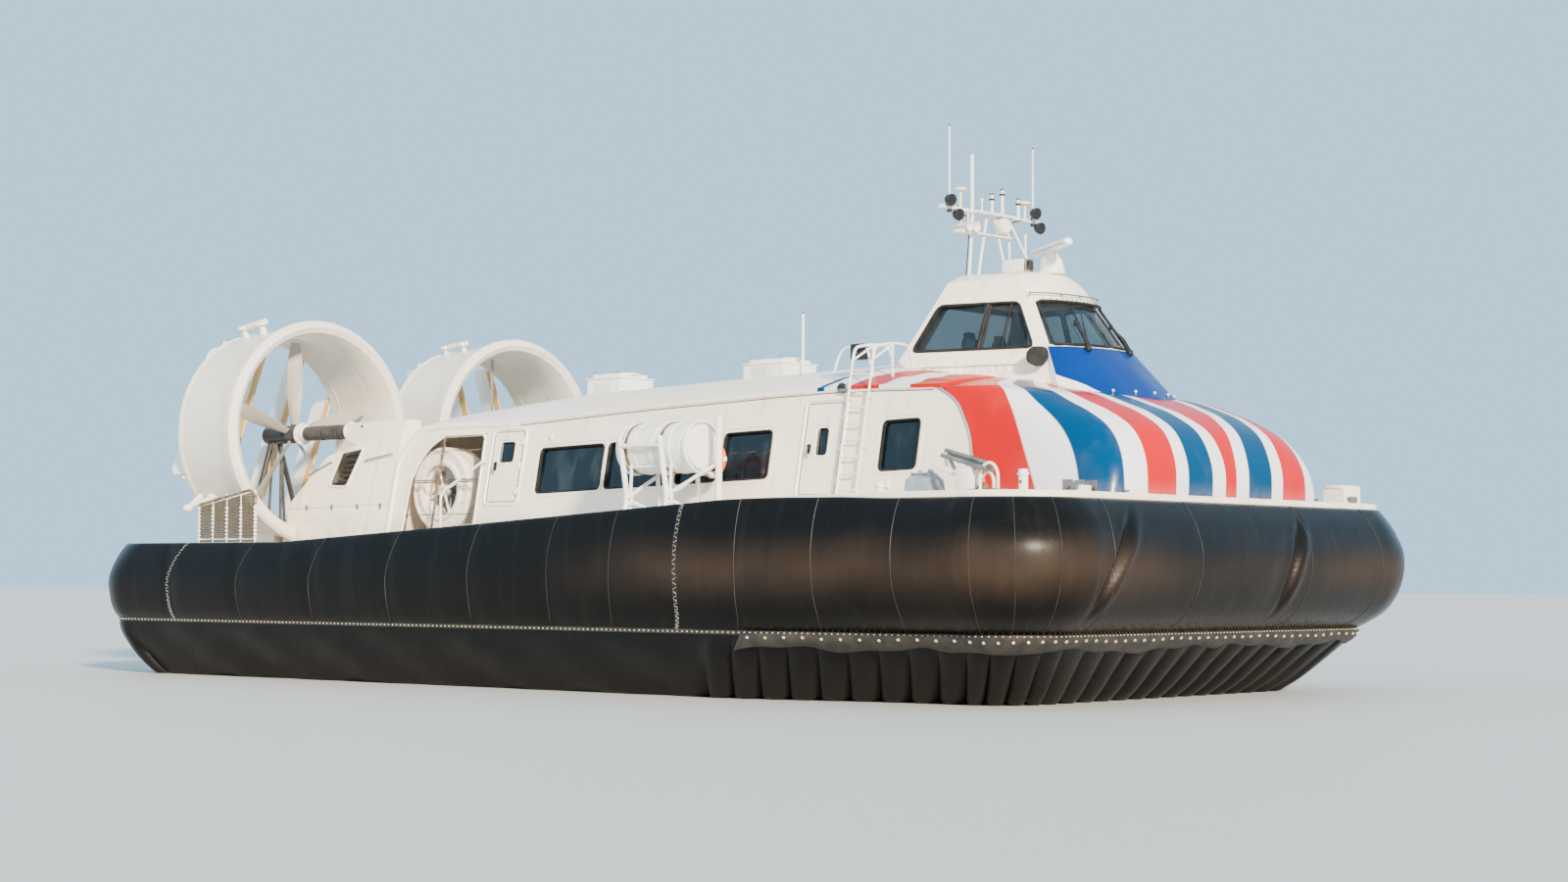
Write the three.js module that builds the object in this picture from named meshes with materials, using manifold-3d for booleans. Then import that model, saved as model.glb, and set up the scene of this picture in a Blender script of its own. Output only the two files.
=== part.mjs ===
// A twin-duct passenger hovercraft of about 80 seats, in millimetres.
// +X is the bow, +Y is port, +Z is up. The origin is on the ground at mid-length.
import * as THREE from "three";
import { mergeVertices } from "three/addons/utils/BufferGeometryUtils.js";
import { ConvexGeometry } from "three/addons/geometries/ConvexGeometry.js";
import Module from "manifold-3d";

const wasm = await Module();
wasm.setup();

// Driving dimensions
const LENGTH = 23860;
const BEAM = 12460;
const GAP = 0.3;
const DECK_TOP = 3300;
const AFT_DECK = 2600;
const DECK_THICKNESS = 140;
const HULL_BOTTOM = 1650;
const WALL_LEAN = 0.194;
const WALL_FOOT_Y = 3480;
const WALL_FOOT_Z = 2850;
const WALL = 60;
const PANEL_LIFT = 12;
const CABIN_AFT = -5800;
const CABIN_FRONT = 7700;
const DUCT_Y = 2800;
const DUCT_Z = 4950;
const THROAT_RADIUS = 1960;
const DUCT_REAR = -10620;
const DUCT_LENGTH = 2000;
const RUDDER_X = -10740;
const RUDDER_CANT = THREE.MathUtils.degToRad(18.9);

const LEAN = Math.atan(WALL_LEAN);
const V3 = (x, y, z) => new THREE.Vector3(x, y, z);

// Turns a closed three.js geometry into a solid that can be joined and cut.
function solid(geometry) {
  const loose = geometry.index ? geometry.toNonIndexed() : geometry.clone();
  for (const name of Object.keys(loose.attributes)) {
    if (name !== "position") loose.deleteAttribute(name);
  }
  const merged = mergeVertices(loose, 0.01);
  const ids = merged.index.array;
  const kept = [];
  for (let i = 0; i < ids.length; i += 3) {
    const [a, b, c] = [ids[i], ids[i + 1], ids[i + 2]];
    if (a !== b && b !== c && c !== a) kept.push([a, b, c]);
  }
  const make = (faces) =>
    new wasm.Manifold(
      new wasm.Mesh({
        numProp: 3,
        vertProperties: merged.attributes.position.array,
        triVerts: new Uint32Array(faces.flat()),
      }),
    );
  const made = make(kept);
  return made.volume() > 0 ? made : make(kept.map(([a, b, c]) => [a, c, b]));
}

function join(...solids) {
  return solids.reduce((whole, next) => whole.add(next));
}

function cut(whole, ...tools) {
  return tools.reduce((rest, tool) => rest.subtract(tool), whole);
}

function geometryOf(made) {
  const data = made.getMesh();
  const geometry = new THREE.BufferGeometry();
  geometry.setAttribute(
    "position",
    new THREE.BufferAttribute(new Float32Array(data.vertProperties), 3),
  );
  geometry.setIndex(new THREE.BufferAttribute(new Uint32Array(data.triVerts), 1));
  geometry.computeVertexNormals();
  return geometry;
}

// A box from its low and high corners.
function box([x0, y0, z0], [x1, y1, z1]) {
  const g = new THREE.BoxGeometry(x1 - x0, y1 - y0, z1 - z0);
  g.translate((x0 + x1) / 2, (y0 + y1) / 2, (z0 + z1) / 2);
  return solid(g);
}

// A round bar from one point to another.
function bar(from, to, radius, sides = 10) {
  const a = V3(...from);
  const b = V3(...to);
  const g = new THREE.CylinderGeometry(radius, radius, a.distanceTo(b), sides);
  const turn = new THREE.Quaternion().setFromUnitVectors(
    V3(0, 1, 0),
    b.clone().sub(a).normalize(),
  );
  g.applyQuaternion(turn);
  g.translate(...a.add(b).multiplyScalar(0.5).toArray());
  return solid(g);
}

function convex(points) {
  return solid(new ConvexGeometry(points.map((p) => V3(...p))));
}

function shapeOf(points) {
  return new THREE.Shape(points.map(([u, v]) => new THREE.Vector2(u, v)));
}

// A prism of a shape in its own u, v plane, pushed along w and placed by a frame matrix.
function prism(shape, w0, w1, frame) {
  const g = new THREE.ExtrudeGeometry(shape, {
    depth: w1 - w0,
    bevelEnabled: false,
    curveSegments: 4,
  });
  g.translate(0, 0, w0);
  g.applyMatrix4(frame);
  return solid(g);
}

function frameOf(u, v, w, origin) {
  const m = new THREE.Matrix4().makeBasis(V3(...u), V3(...v), V3(...w));
  return m.setPosition(...origin);
}

const UP = frameOf([1, 0, 0], [0, 1, 0], [0, 0, 1], [0, 0, 0]);
const ACROSS = frameOf([1, 0, 0], [0, 0, 1], [0, 1, 0], [0, 0, 0]);
const ALONG = frameOf([0, 1, 0], [0, 0, 1], [1, 0, 0], [0, 0, 0]);
// The starboard wall's own frame: u forward, v up the leaning wall, w inward.
const STARBOARD_WALL = frameOf(
  [1, 0, 0],
  [0, Math.sin(LEAN), Math.cos(LEAN)],
  [0, Math.cos(LEAN), -Math.sin(LEAN)],
  [0, -WALL_FOOT_Y, WALL_FOOT_Z],
);
const wallY = (z) => WALL_FOOT_Y - WALL_LEAN * (z - WALL_FOOT_Z);
const wallV = (z) => (z - WALL_FOOT_Z) / Math.cos(LEAN);
const onWall = (points) => points.map(([x, z]) => [x, wallV(z)]);

// A plate on the starboard wall with holes through it; points are x, z at the outer face.
function wallPlate(outline, holes, w0, w1) {
  const plate = prism(shapeOf(onWall(outline)), w0, w1, STARBOARD_WALL);
  const tools = holes.map((hole) =>
    prism(shapeOf(onWall(hole)), w0 - 20, w1 + 20, STARBOARD_WALL),
  );
  return cut(plate, ...tools);
}

function mirrored(made) {
  return made.mirror([0, 1, 0]);
}

// A solid ring from sections round a closed path, each a closed polygon of equal count.
function ring(sections) {
  const count = sections.length;
  const size = sections[0].length;
  const at = (i, j) => sections[i % count][j % size];
  return facets((quad) => {
    for (let i = 0; i < count; i++) {
      for (let j = 0; j < size; j++) {
        quad(at(i, j), at(i + 1, j), at(i + 1, j + 1), at(i, j + 1));
      }
    }
  });
}

// A panel between an outer and an inner grid of points of equal size.
function shell(outer, inner) {
  const rows = outer.length - 1;
  const cols = outer[0].length - 1;
  return facets((quad) => {
    for (let i = 0; i < rows; i++) {
      for (let j = 0; j < cols; j++) {
        quad(outer[i][j], outer[i + 1][j], outer[i + 1][j + 1], outer[i][j + 1]);
        quad(inner[i][j], inner[i][j + 1], inner[i + 1][j + 1], inner[i + 1][j]);
      }
    }
    for (let i = 0; i < rows; i++) {
      quad(outer[i][0], inner[i][0], inner[i + 1][0], outer[i + 1][0]);
      quad(outer[i][cols], outer[i + 1][cols], inner[i + 1][cols], inner[i][cols]);
    }
    for (let j = 0; j < cols; j++) {
      quad(outer[0][j], outer[0][j + 1], inner[0][j + 1], inner[0][j]);
      quad(outer[rows][j], inner[rows][j], inner[rows][j + 1], outer[rows][j + 1]);
    }
  });
}

// A bar lofted through convex sections of equal count, closed at both ends.
function loft(sections) {
  const last = sections.length - 1;
  const size = sections[0].length;
  return facets((quad, fan) => {
    for (let i = 0; i < last; i++) {
      for (let j = 0; j < size; j++) {
        const k = (j + 1) % size;
        quad(sections[i][j], sections[i + 1][j], sections[i + 1][k], sections[i][k]);
      }
    }
    fan(sections[0]);
    fan([...sections[last]].reverse());
  });
}

function facets(fill) {
  const corners = [];
  const tri = (a, b, c) => corners.push(...a, ...b, ...c);
  const quad = (a, b, c, d) => {
    tri(a, b, c);
    tri(a, c, d);
  };
  const fan = (polygon) => {
    for (let j = 1; j + 1 < polygon.length; j++) tri(polygon[0], polygon[j], polygon[j + 1]);
  };
  fill(quad, fan);
  const g = new THREE.BufferGeometry();
  g.setAttribute("position", new THREE.Float32BufferAttribute(corners, 3));
  return solid(g);
}

// A body of revolution about +X, +Y or +Z from a closed profile of radius, place.
function turned(profile, sides, centre, axis = "x") {
  const points = profile.map(([r, t]) => new THREE.Vector2(r, t));
  const g = new THREE.LatheGeometry(points, sides);
  if (axis === "x") g.rotateZ(-Math.PI / 2);
  if (axis === "z") g.rotateX(Math.PI / 2);
  g.translate(...centre);
  return solid(g);
}

const MATERIAL = {
  cream: [0xe6e2d6, 0.5, 0],
  black: [0x1d1c1b, 0.75, 0],
  rubber: [0x2b2623, 0.7, 0],
  deckGrey: [0x8b8d8c, 0.8, 0],
  glass: [0x20262b, 0.1, 0],
  blue: [0x125a9e, 0.4, 0],
  domeBlue: [0x1270a0, 0.4, 0],
  metal: [0x9a9c9d, 0.4, 0.8],
  white: [0xefefec, 0.4, 0],
  seat: [0x2a3f66, 0.85, 0],
};
const hovercraft = new THREE.Group();

function add(name, made, look) {
  const [color, roughness, metalness] = MATERIAL[look];
  const material = new THREE.MeshStandardMaterial({ color, roughness, metalness });
  const mesh = new THREE.Mesh(geometryOf(made), material);
  mesh.name = name;
  hovercraft.add(mesh);
}

function addPair(name, starboard, look, ...tools) {
  add(name + "_starboard", cut(starboard, ...tools), look);
  add(name + "_port", cut(mirrored(starboard), ...tools), look);
}

// Deck height along the craft: it falls away aft of the doors
const DECK_LINE = [
  [-LENGTH, AFT_DECK],
  [CABIN_AFT, AFT_DECK],
  [0, 2900],
  [5500, 3210],
  [8000, DECK_TOP],
  [LENGTH, DECK_TOP],
];
function along(line, x) {
  const k = Math.max(1, line.findIndex((row) => row[0] >= x));
  const [a, b] = [line[k - 1], line[k]];
  const t = (x - a[0]) / (b[0] - a[0]);
  return a.slice(1).map((value, i) => value + (b[i + 1] - value) * t);
}
const deckHeight = (x) => along(DECK_LINE, x)[0];
// The layer between two heights above the deck line
function deckLayer(low, high) {
  const edge = (lift) => DECK_LINE.map(([x, z]) => [x, z + lift]);
  return prism(shapeOf([...edge(low), ...edge(high).reverse()]), -BEAM, BEAM, ACROSS);
}
const belowDeck = deckLayer(-LENGTH, GAP);

// How far the craft has turned from side to bow
const bowShare = (x) => THREE.MathUtils.smoothstep(x, 5500, 10000);

// Half of a rounded plan outline, from the middle of the stern by starboard to the bow.
// A mark is a segment, a share of it and how far a finger stands out there.
const smooth = (steps) => Array.from({ length: steps }, (_, i) => [i / steps, 0]);
const pleated = (fingers, from = 0) => {
  const shares = [];
  for (let n = 0; n < fingers; n++) {
    for (const [part, bulge] of [
      [0, 0],
      [0.3, 1],
      [0.7, 1],
    ]) {
      shares.push([from + ((1 - from) * (n + part)) / fingers, bulge]);
    }
  }
  return shares;
};
const marksOf = (plan) => [
  ...Object.entries(plan).flatMap(([segment, shares]) =>
    shares.map(([t, bulge]) => ({ segment, t, bulge })),
  ),
  { segment: "front", t: 1, bulge: 0 },
];
const PLAIN_MARKS = marksOf({
  stern: smooth(3),
  quarter: smooth(5),
  side: smooth(14),
  corner: smooth(6),
  front: smooth(3),
});
const FINGERS_START = 0.765;
const FINGER_MARKS = marksOf({
  stern: pleated(7),
  quarter: pleated(3),
  side: [
    ...smooth(9).map(([t]) => [t * FINGERS_START, 0]),
    ...pleated(8, FINGERS_START),
  ],
  corner: pleated(3),
  front: pleated(7),
});

// A row gives the insets from the widest outline at the side and bow, and the corner radii.
function outlinePoint(row, { segment, t, bulge }) {
  const front = LENGTH / 2 - row.bow;
  const rear = row.side - LENGTH / 2;
  const { bowRadius, sternRadius } = row;
  const halfSide = BEAM / 2 - row.side;
  const halfBow = BEAM / 2 - row.bow;
  const round = (cx, cy, radius, start) => {
    const a = THREE.MathUtils.degToRad(start + 90 * t);
    const out = [Math.cos(a), Math.sin(a)];
    return [cx + radius * out[0], cy + radius * out[1], out];
  };
  let place;
  if (segment === "stern") place = [rear, -(halfSide - sternRadius) * t, [-1, 0]];
  if (segment === "quarter") {
    place = round(rear + sternRadius, sternRadius - halfSide, sternRadius, 180);
  }
  if (segment === "side") {
    const x0 = rear + sternRadius;
    const x = x0 + (front - bowRadius - x0) * t;
    const y = halfSide + (halfBow - halfSide) * THREE.MathUtils.smoothstep(t, 0.75, 1);
    place = [x, -y, [0, -1]];
  }
  if (segment === "corner") {
    place = round(front - bowRadius, bowRadius - halfBow, bowRadius, 270);
  }
  if (segment === "front") place = [front, -(halfBow - bowRadius) * (1 - t), [1, 0]];
  const [x, y, out] = place;
  const push = bulge * (row.bulge ?? 0);
  return [x + out[0] * push, y + out[1] * push];
}

// Starboard points from the stern to the bow, then the same ones mirrored back to the stern
function allRound(marks, pointOf) {
  const starboard = marks.map(pointOf);
  const port = starboard.slice(1, -1).reverse();
  return [...starboard, ...port.map((point) => flip(point))];
}
const flip = (point) =>
  Array.isArray(point[0]) ? point.map(flip) : [point[0], -point[1], ...point.slice(2)];

const outlineOf = (row) => allRound(PLAIN_MARKS, (mark) => outlinePoint(row, mark));
function around(rows, marks = PLAIN_MARKS) {
  const section = (mark) =>
    rows.map((row) => {
      const [x, y] = outlinePoint(row, mark);
      return [x, y, row.z(x)];
    });
  return ring(allRound(marks, section));
}
// Rows parallel to the deck's edge, inset from the outer face of the strake
const edgeRow = (inset, z) => ({
  side: 230 + inset,
  bow: 440 + inset,
  bowRadius: 1350 - inset,
  sternRadius: 1600 - inset,
  z,
});
const HULL_ROW = { side: 1250, bow: 1450, bowRadius: 500, sternRadius: 300 };
const CHAIN_HEIGHT = 1130;

function skirtBag() {
  // insets and radii, then height as a share from chain to deck at the side and bow, and lift
  const table = [
    [262, 472, 1318, 1568, 1, 1, -100],
    [215, 425, 1365, 1615, 1, 1, -60],
    [120, 350, 1460, 1600, 1, 0.93, 30],
    [28, 160, 1600, 1350, 0.8, 0.81, 0],
    [0, 0, 1700, 1150, 0.54, 0.6, 0],
    [35, 60, 1640, 1110, 0.27, 0.35, 0],
    [120, 330, 1400, 1020, 0.1, 0.14, 0],
    [235, 780, 1100, 900, 0, 0, 0],
  ];
  const rows = table.map(([side, bow, bowRadius, sternRadius, shareSide, shareBow, lift]) => ({
    side,
    bow,
    bowRadius,
    sternRadius,
    z: (x) => {
      const share = shareSide + (shareBow - shareSide) * bowShare(x);
      return CHAIN_HEIGHT + share * (deckHeight(x) - CHAIN_HEIGHT) + lift;
    },
  }));
  rows.push({ ...HULL_ROW, z: () => HULL_BOTTOM });
  rows.push({ ...HULL_ROW, z: (x) => deckHeight(x) - 100 });
  return cut(around(rows), deckBed());
}

function skirtFingers() {
  const bulge = 110;
  // insets and radii, height and share of the bulge
  const table = [
    [215, 760, 1110, 900, CHAIN_HEIGHT - GAP, 0],
    [320, 1010, 1060, 850, 900, 0.35],
    [560, 1420, 930, 750, 450, 0.75],
    [950, 1950, 800, 550, 0, 1],
    [1020, 2020, 730, 480, 0, 1],
    [650, 1510, 840, 660, 450, 0.75],
    [410, 1100, 970, 760, 900, 0.35],
    [315, 860, 1010, 800, CHAIN_HEIGHT - GAP, 0],
  ];
  const rows = table.map(([side, bow, bowRadius, sternRadius, height, share]) => ({
    side,
    bow,
    bowRadius,
    sternRadius,
    bulge: bulge * share,
    z: () => height,
  }));
  return around(rows, FINGER_MARKS);
}

function hull() {
  const row = { ...HULL_ROW, side: HULL_ROW.side + GAP, bow: HULL_ROW.bow + GAP };
  const tank = prism(shapeOf(outlineOf(row)), HULL_BOTTOM, DECK_TOP, UP);
  return cut(tank, deckLayer(-DECK_THICKNESS - GAP, LENGTH));
}

// Everything above the underside of the deck and inside its edge
function deckBed() {
  const plan = prism(shapeOf(outlineOf(edgeRow(30 - GAP))), 0, LENGTH, UP);
  return plan.intersect(deckLayer(-DECK_THICKNESS - GAP, LENGTH));
}

// The cabin floor stands level on the sloping deck, inside the side walls
const FLOOR = { x0: -3200, x1: 8050, half: 3320 };
function deck() {
  const plan = prism(shapeOf(outlineOf(edgeRow(30))), 0, LENGTH, UP);
  const plate = plan.intersect(deckLayer(-DECK_THICKNESS, 0));
  const floor = cut(
    box([FLOOR.x0, -FLOOR.half, AFT_DECK], [FLOOR.x1, FLOOR.half, DECK_TOP]),
    deckLayer(-LENGTH, -20),
  );
  const strake = around([
    edgeRow(0, (x) => deckHeight(x) - 60),
    edgeRow(0, (x) => deckHeight(x) + 40),
    edgeRow(70, (x) => deckHeight(x) + 40),
    edgeRow(70, (x) => deckHeight(x) - 60),
  ]);
  return join(plate, floor, strake);
}

add("hull", hull(), "deckGrey");
add("deck", deck(), "cream");
add("skirt_bag", skirtBag(), "rubber");
add("skirt_fingers", skirtFingers(), "rubber");
const SKID = { x0: -8000, x1: 8000, y: 3000, half: 220, z: 1250 };
addPair(
  "landing_skid",
  box(
    [SKID.x0, -SKID.y - SKID.half, SKID.z],
    [SKID.x1, -SKID.y + SKID.half, HULL_BOTTOM - GAP],
  ),
  "black",
);

// Roof line along the cabin: x, gutter height, crown height
const ROOF_LINE = [
  [CABIN_AFT, 4250, 5250],
  [-5550, 4640, 5280],
  [-5200, 4880, 5330],
  [-4700, 4960, 5380],
  [-2400, 4920, 5640],
  [1000, 5080, 5740],
  [4230, 5190, 5810],
  [5740, 5220, 5850],
  [CABIN_FRONT, 5170, 5480],
];
const ROOF_SPAN = 12;
const ROOF_POWER = 2.4;
const roofLine = (x) => along(ROOF_LINE, x);
// Underside of the roof at a share t of the half-width, from -1 to 1
function roofPoint(x, t, lift) {
  const [gutter, crown] = roofLine(x);
  const reach = wallY(gutter) + 30;
  const z = gutter + (crown - WALL - gutter) * (1 - Math.abs(t) ** ROOF_POWER);
  return [x, t * reach, z + lift];
}
const ROOF_SHARES = Array.from({ length: ROOF_SPAN + 1 }, (_, j) => (2 * j) / ROOF_SPAN - 1);
function roofBetween(low, high) {
  const rows = (lift) =>
    ROOF_LINE.map(([x]) => ROOF_SHARES.map((t) => roofPoint(x, t, lift)));
  return shell(rows(high), rows(low));
}
const belowRoof = roofBetween(-900, 1 + WALL + GAP);
const aboveRoof = roofBetween(1 - GAP, 900);

function rounded(x0, x1, zLow, zHigh, radius, rise = 0) {
  const corners = [
    [x1 - radius, zHigh - radius, 0],
    [x0 + radius, zHigh - radius, 90],
    [x0 + radius, zLow + radius, 180],
    [x1 - radius, zLow + radius, 270],
  ];
  const points = [];
  for (const [cx, cz, start] of corners) {
    for (const turn of [0, 45, 90]) {
      const a = THREE.MathUtils.degToRad(start + turn);
      const x = cx + radius * Math.cos(a);
      points.push([x, cz + radius * Math.sin(a) + rise * (x - x0)]);
    }
  }
  return points;
}
const square = ({ x0, x1, low, high }) => [
  [x0, low],
  [x1, low],
  [x1, high],
  [x0, high],
];
const shrunk = ({ x0, x1, low, high }, by) => ({
  x0: x0 + by,
  x1: x1 - by,
  low: low + by,
  high: high - by,
});

// Cabin side: windows as x from, x to, with the sill and head of the aftmost
const WINDOW = { sill: 3555, height: 860, rise: 0.028, radius: 90 };
const WINDOWS = [
  [-1700, -10],
  [100, 1780],
  [1880, 2880],
  [2970, 4100],
  [6560, 7360],
];
const windowHole = ([x0, x1]) => {
  const sill = WINDOW.sill + WINDOW.rise * (x0 + 1700);
  return rounded(x0, x1, sill, sill + WINDOW.height, WINDOW.radius, WINDOW.rise);
};
const DOOR = { x0: 4860, x1: 5660, low: 3420, high: 4990 };
const HATCH = { x0: -3020, x1: -2220, low: 3420, high: 4760 };
const CLEAR = 5;
const PANEL_FRONT = [
  [8100, 4870],
  [8400, 4380],
  [8540, 3850],
  [8580, DECK_TOP + PANEL_LIFT],
];
const ARCH = [
  [-3250, 2880],
  [-3290, 4760],
  [-4530, 4760],
  [-4900, 4560],
  [-5180, 4220],
  [-5330, 3860],
  [-5360, 2800],
];

function cabinSide() {
  const outline = [
    ...ROOF_LINE.map(([x, gutter]) => [x, gutter]),
    ...PANEL_FRONT,
    ...[8000, 5500, 0, CABIN_AFT].map((x) => [x, deckHeight(x) + PANEL_LIFT]),
  ];
  const holes = [ARCH, square(DOOR), square(HATCH), ...WINDOWS.map(windowHole)];
  const panel = wallPlate(outline, holes, 0, WALL);
  return join(panel, ...hingeSide(DOOR, true), ...hingeSide(HATCH, true));
}

// Hinges stand outside the wall at the forward edge of a door.
const HINGE = { out: 25, radius: 16, height: 60, leaf: 60, ahead: 12, root: 20 };
const hingePoint = (door, v, w) =>
  V3(door.x1 + HINGE.ahead, v, w).applyMatrix4(STARBOARD_WALL).toArray();
function hingeSide(door, fixed) {
  const pieces = [];
  const span = door.high - door.low;
  for (const share of [0.15, 0.5, 0.85]) {
    const v = wallV(door.low + span * share);
    // fixed knuckles above, moving ones below, with a running gap between
    const [v0, v1] = fixed ? [v + GAP, v + HINGE.height] : [v - HINGE.height, v];
    const [low, high] = [v0, v1].map((at) => hingePoint(door, at, -HINGE.out));
    pieces.push(bar(low, high, HINGE.radius));
    const x = door.x1 + HINGE.ahead;
    const [u0, u1] = fixed ? [x, x + HINGE.leaf] : [x - HINGE.leaf, x];
    const strap = (a, b) => [
      [a, v0],
      [b, v0],
      [b, v1],
      [a, v1],
    ];
    pieces.push(prism(shapeOf(strap(u0, u1)), -HINGE.out, -CLEAR, STARBOARD_WALL));
    const [p0, p1] = fixed ? [u0 + HINGE.root, u1] : [u0, door.x1 - CLEAR];
    pieces.push(prism(shapeOf(strap(p0, p1)), -HINGE.out, 1, STARBOARD_WALL));
  }
  return pieces;
}

function doorLeaf(door, window) {
  const leaf = wallPlate(square(shrunk(door, CLEAR)), [window], 0, 50);
  return join(leaf, ...hingeSide(door, false));
}

addPair("cabin_side", cabinSide(), "cream");
addPair("passenger_door", doorLeaf(DOOR, rounded(5150, 5370, 4100, 4560, 60)), "cream");
addPair("aft_hatch", doorLeaf(HATCH, rounded(-2800, -2440, 4180, 4560, 60)), "cream");

// The roof has a well under the wheelhouse for the helm
const HELM = { x0: 6200, x1: 7600, half: 1100, low: 5160, top: 5880 };
const helmWell = box([HELM.x0, -HELM.half, HELM.low], [HELM.x1, HELM.half, LENGTH]);
add("cabin_roof", cut(roofBetween(1, 1 + WALL), helmWell), "cream");

function helm() {
  const { x0, x1, half, low, top } = HELM;
  const sheet = 40;
  const tray = cut(
    box([x0 + GAP, -half + GAP, low], [x1 - GAP, half - GAP, top]),
    box([x0 + sheet, -half + sheet, low + sheet], [x1 - sheet, half - sheet, LENGTH]),
  );
  const console = convex(
    [-850, 850].flatMap((y) => [
      [7250, y, low],
      [7250, y, 5800],
      [7400, y, 5960],
      [7580, y, 5960],
      [7580, y, low],
    ]),
  );
  const pieces = [tray, console];
  for (const y of [-450, 450]) {
    pieces.push(box([6520, y - 60, low], [6640, y + 60, 5620]));
    pieces.push(box([6360, y - 230, 5600], [6820, y + 230, 5710]));
    pieces.push(box([6360, y - 230, 5600], [6450, y + 230, 6300]));
  }
  return join(...pieces);
}
add("helm", helm(), "seat");

const glazing = (pane) => wallPlate(square(pane), [], WALL + GAP, WALL + GAP + 12);
addPair("side_glazing", glazing({ x0: -1780, x1: 4180, low: 3480, high: 4640 }), "glass");
addPair("forward_glazing", glazing({ x0: 6480, x1: 7440, low: 3700, high: 4760 }), "glass");

function bulkhead(x, foot) {
  const inset = WALL + 8;
  const shoulder = Math.min(roofLine(x)[0], roofLine(x + WALL)[0]) - 12;
  const top = ROOF_SHARES.slice(1, -1).map((t) => roofPoint(x, t, 60).slice(1));
  const edge = [
    [wallY(foot) - inset, foot],
    [wallY(shoulder) - inset, shoulder],
    ...top.reverse(),
    [inset - wallY(shoulder), shoulder],
    [inset - wallY(foot), foot],
  ];
  return cut(prism(shapeOf(edge), x, x + WALL, ALONG), aboveRoof, belowDeck);
}
add("rear_bulkhead", bulkhead(CABIN_AFT, AFT_DECK), "cream");
add("cabin_bulkhead", bulkhead(-3140, DECK_TOP + GAP), "cream");

// Bow dome: height, start of the curve at the side panel, foremost point, squareness in plan
const DOME_ROWS = [
  [DECK_TOP + GAP, 8582, 11400, 9],
  [3850, 8540, 11390, 7.5],
  [4380, 8400, 11180, 5],
  [4700, 8230, 10780, 3.8],
  [4870, 8100, 10400, 3.4],
  [5060, 7870, 9850, 3.4],
  [5170, CABIN_FRONT, 9200, 3.4],
];
const DOME_STEPS = 20;
function domeShell(lift, depth) {
  const rows = (shrink, up) =>
    DOME_ROWS.map(([z, x0, x1, squareness], i) => {
      const half = wallY(z);
      const points = [];
      for (let j = 0; j <= DOME_STEPS; j++) {
        const a = -Math.PI / 2 + (Math.PI * j) / DOME_STEPS;
        const c = Math.max(0, Math.cos(a)) ** (2 / squareness);
        const s = Math.sign(Math.sin(a)) * Math.abs(Math.sin(a)) ** (2 / squareness);
        points.push([
          x0 + 0.5 + (x1 - x0 - shrink) * c,
          (half - shrink) * s,
          z + up * c * (i / (DOME_ROWS.length - 1)),
        ]);
      }
      return points;
    });
  const close = (grid, up) => {
    const [gutter, crown] = roofLine(CABIN_FRONT);
    const edge = grid[grid.length - 1];
    const reach = Math.abs(edge[0][1]);
    const row = edge.map(([, y]) => {
      const z = gutter + (crown - gutter) * (1 - Math.abs(y / reach) ** ROOF_POWER);
      return [CABIN_FRONT + 0.5, y, z + up];
    });
    return [...grid, row];
  };
  return shell(close(rows(-lift, lift), lift), close(rows(depth, -depth), -depth));
}
add("bow_dome", domeShell(0, WALL), "domeBlue");
const belowDome = domeShell(0.5, 600);

// Wheelhouse rings: height, rear x and half-width, front x and half-width, reach of the nose
const HOUSE_ROWS = [
  [5000, 5440, 2100, 9120, 1370, 620],
  [5930, 5880, 1690, 8560, 1200, 480],
  [6780, 6280, 1310, 8030, 950, 400],
  [7160, 6400, 1140, 7660, 900, 450],
];
const HOUSE_CAP = [7310, 6420, 800, 7560, 620, 380];
const NOSE_TURNS = [-90, -60, -30, 0, 30, 60, 90].map(THREE.MathUtils.degToRad);
function houseRow([z, rear, rearY, front, frontY, reach], inset) {
  return [
    [rear + inset, rearY - inset, z],
    [rear + inset, inset - rearY, z],
    ...NOSE_TURNS.map((a) => [
      front - inset + reach * Math.cos(a),
      (frontY - inset) * Math.sin(a),
      z,
    ]),
  ];
}
const houseHull = (inset, rows = HOUSE_ROWS) =>
  convex(rows.flatMap((row) => houseRow(row, inset)));
const HOUSE_SILL = 5930;
const HOUSE_HEAD = 6740;

function wheelhouse() {
  const side = [
    [
      [6010, HOUSE_SILL],
      [7230, HOUSE_SILL],
      [7230, HOUSE_HEAD],
      [6340, HOUSE_HEAD],
    ],
    [
      [7300, HOUSE_SILL],
      [8290, HOUSE_SILL],
      [7830, HOUSE_HEAD],
      [7300, HOUSE_HEAD],
    ],
  ].map((pane) => prism(shapeOf(pane), -2600, 2600, ACROSS));
  const pane = (low, high) => [
    [-low, HOUSE_SILL + 30],
    [low, HOUSE_SILL + 30],
    [high, HOUSE_HEAD + 10],
    [-high, HOUSE_HEAD + 10],
  ];
  const front = prism(shapeOf(pane(1170, 925)), 8080, 9600, ALONG);
  const rear = prism(shapeOf(pane(1250, 1000)), 5400, 6800, ALONG);
  const roof = houseHull(0, [HOUSE_ROWS[3], HOUSE_CAP]);
  const floorless = box([0, -BEAM, 0], [LENGTH, BEAM, 5200]);
  const walls = cut(houseHull(0), houseHull(WALL, HOUSE_ROWS), ...side, front, rear, floorless);
  const ceiling = houseHull(WALL - 20, [HOUSE_ROWS[3]].concat([[7110, ...HOUSE_ROWS[3].slice(1)]]));
  return cut(join(walls, roof, ceiling), belowRoof, belowDome);
}
add("wheelhouse", wheelhouse(), "cream");

function wheelhouseGlazing() {
  const band = box([0, -BEAM, HOUSE_SILL - 70], [LENGTH, BEAM, HOUSE_HEAD + 70]);
  return cut(houseHull(WALL + GAP), houseHull(WALL + GAP + 14)).intersect(band);
}
add("wheelhouse_glazing", wheelhouseGlazing(), "glass");

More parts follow.
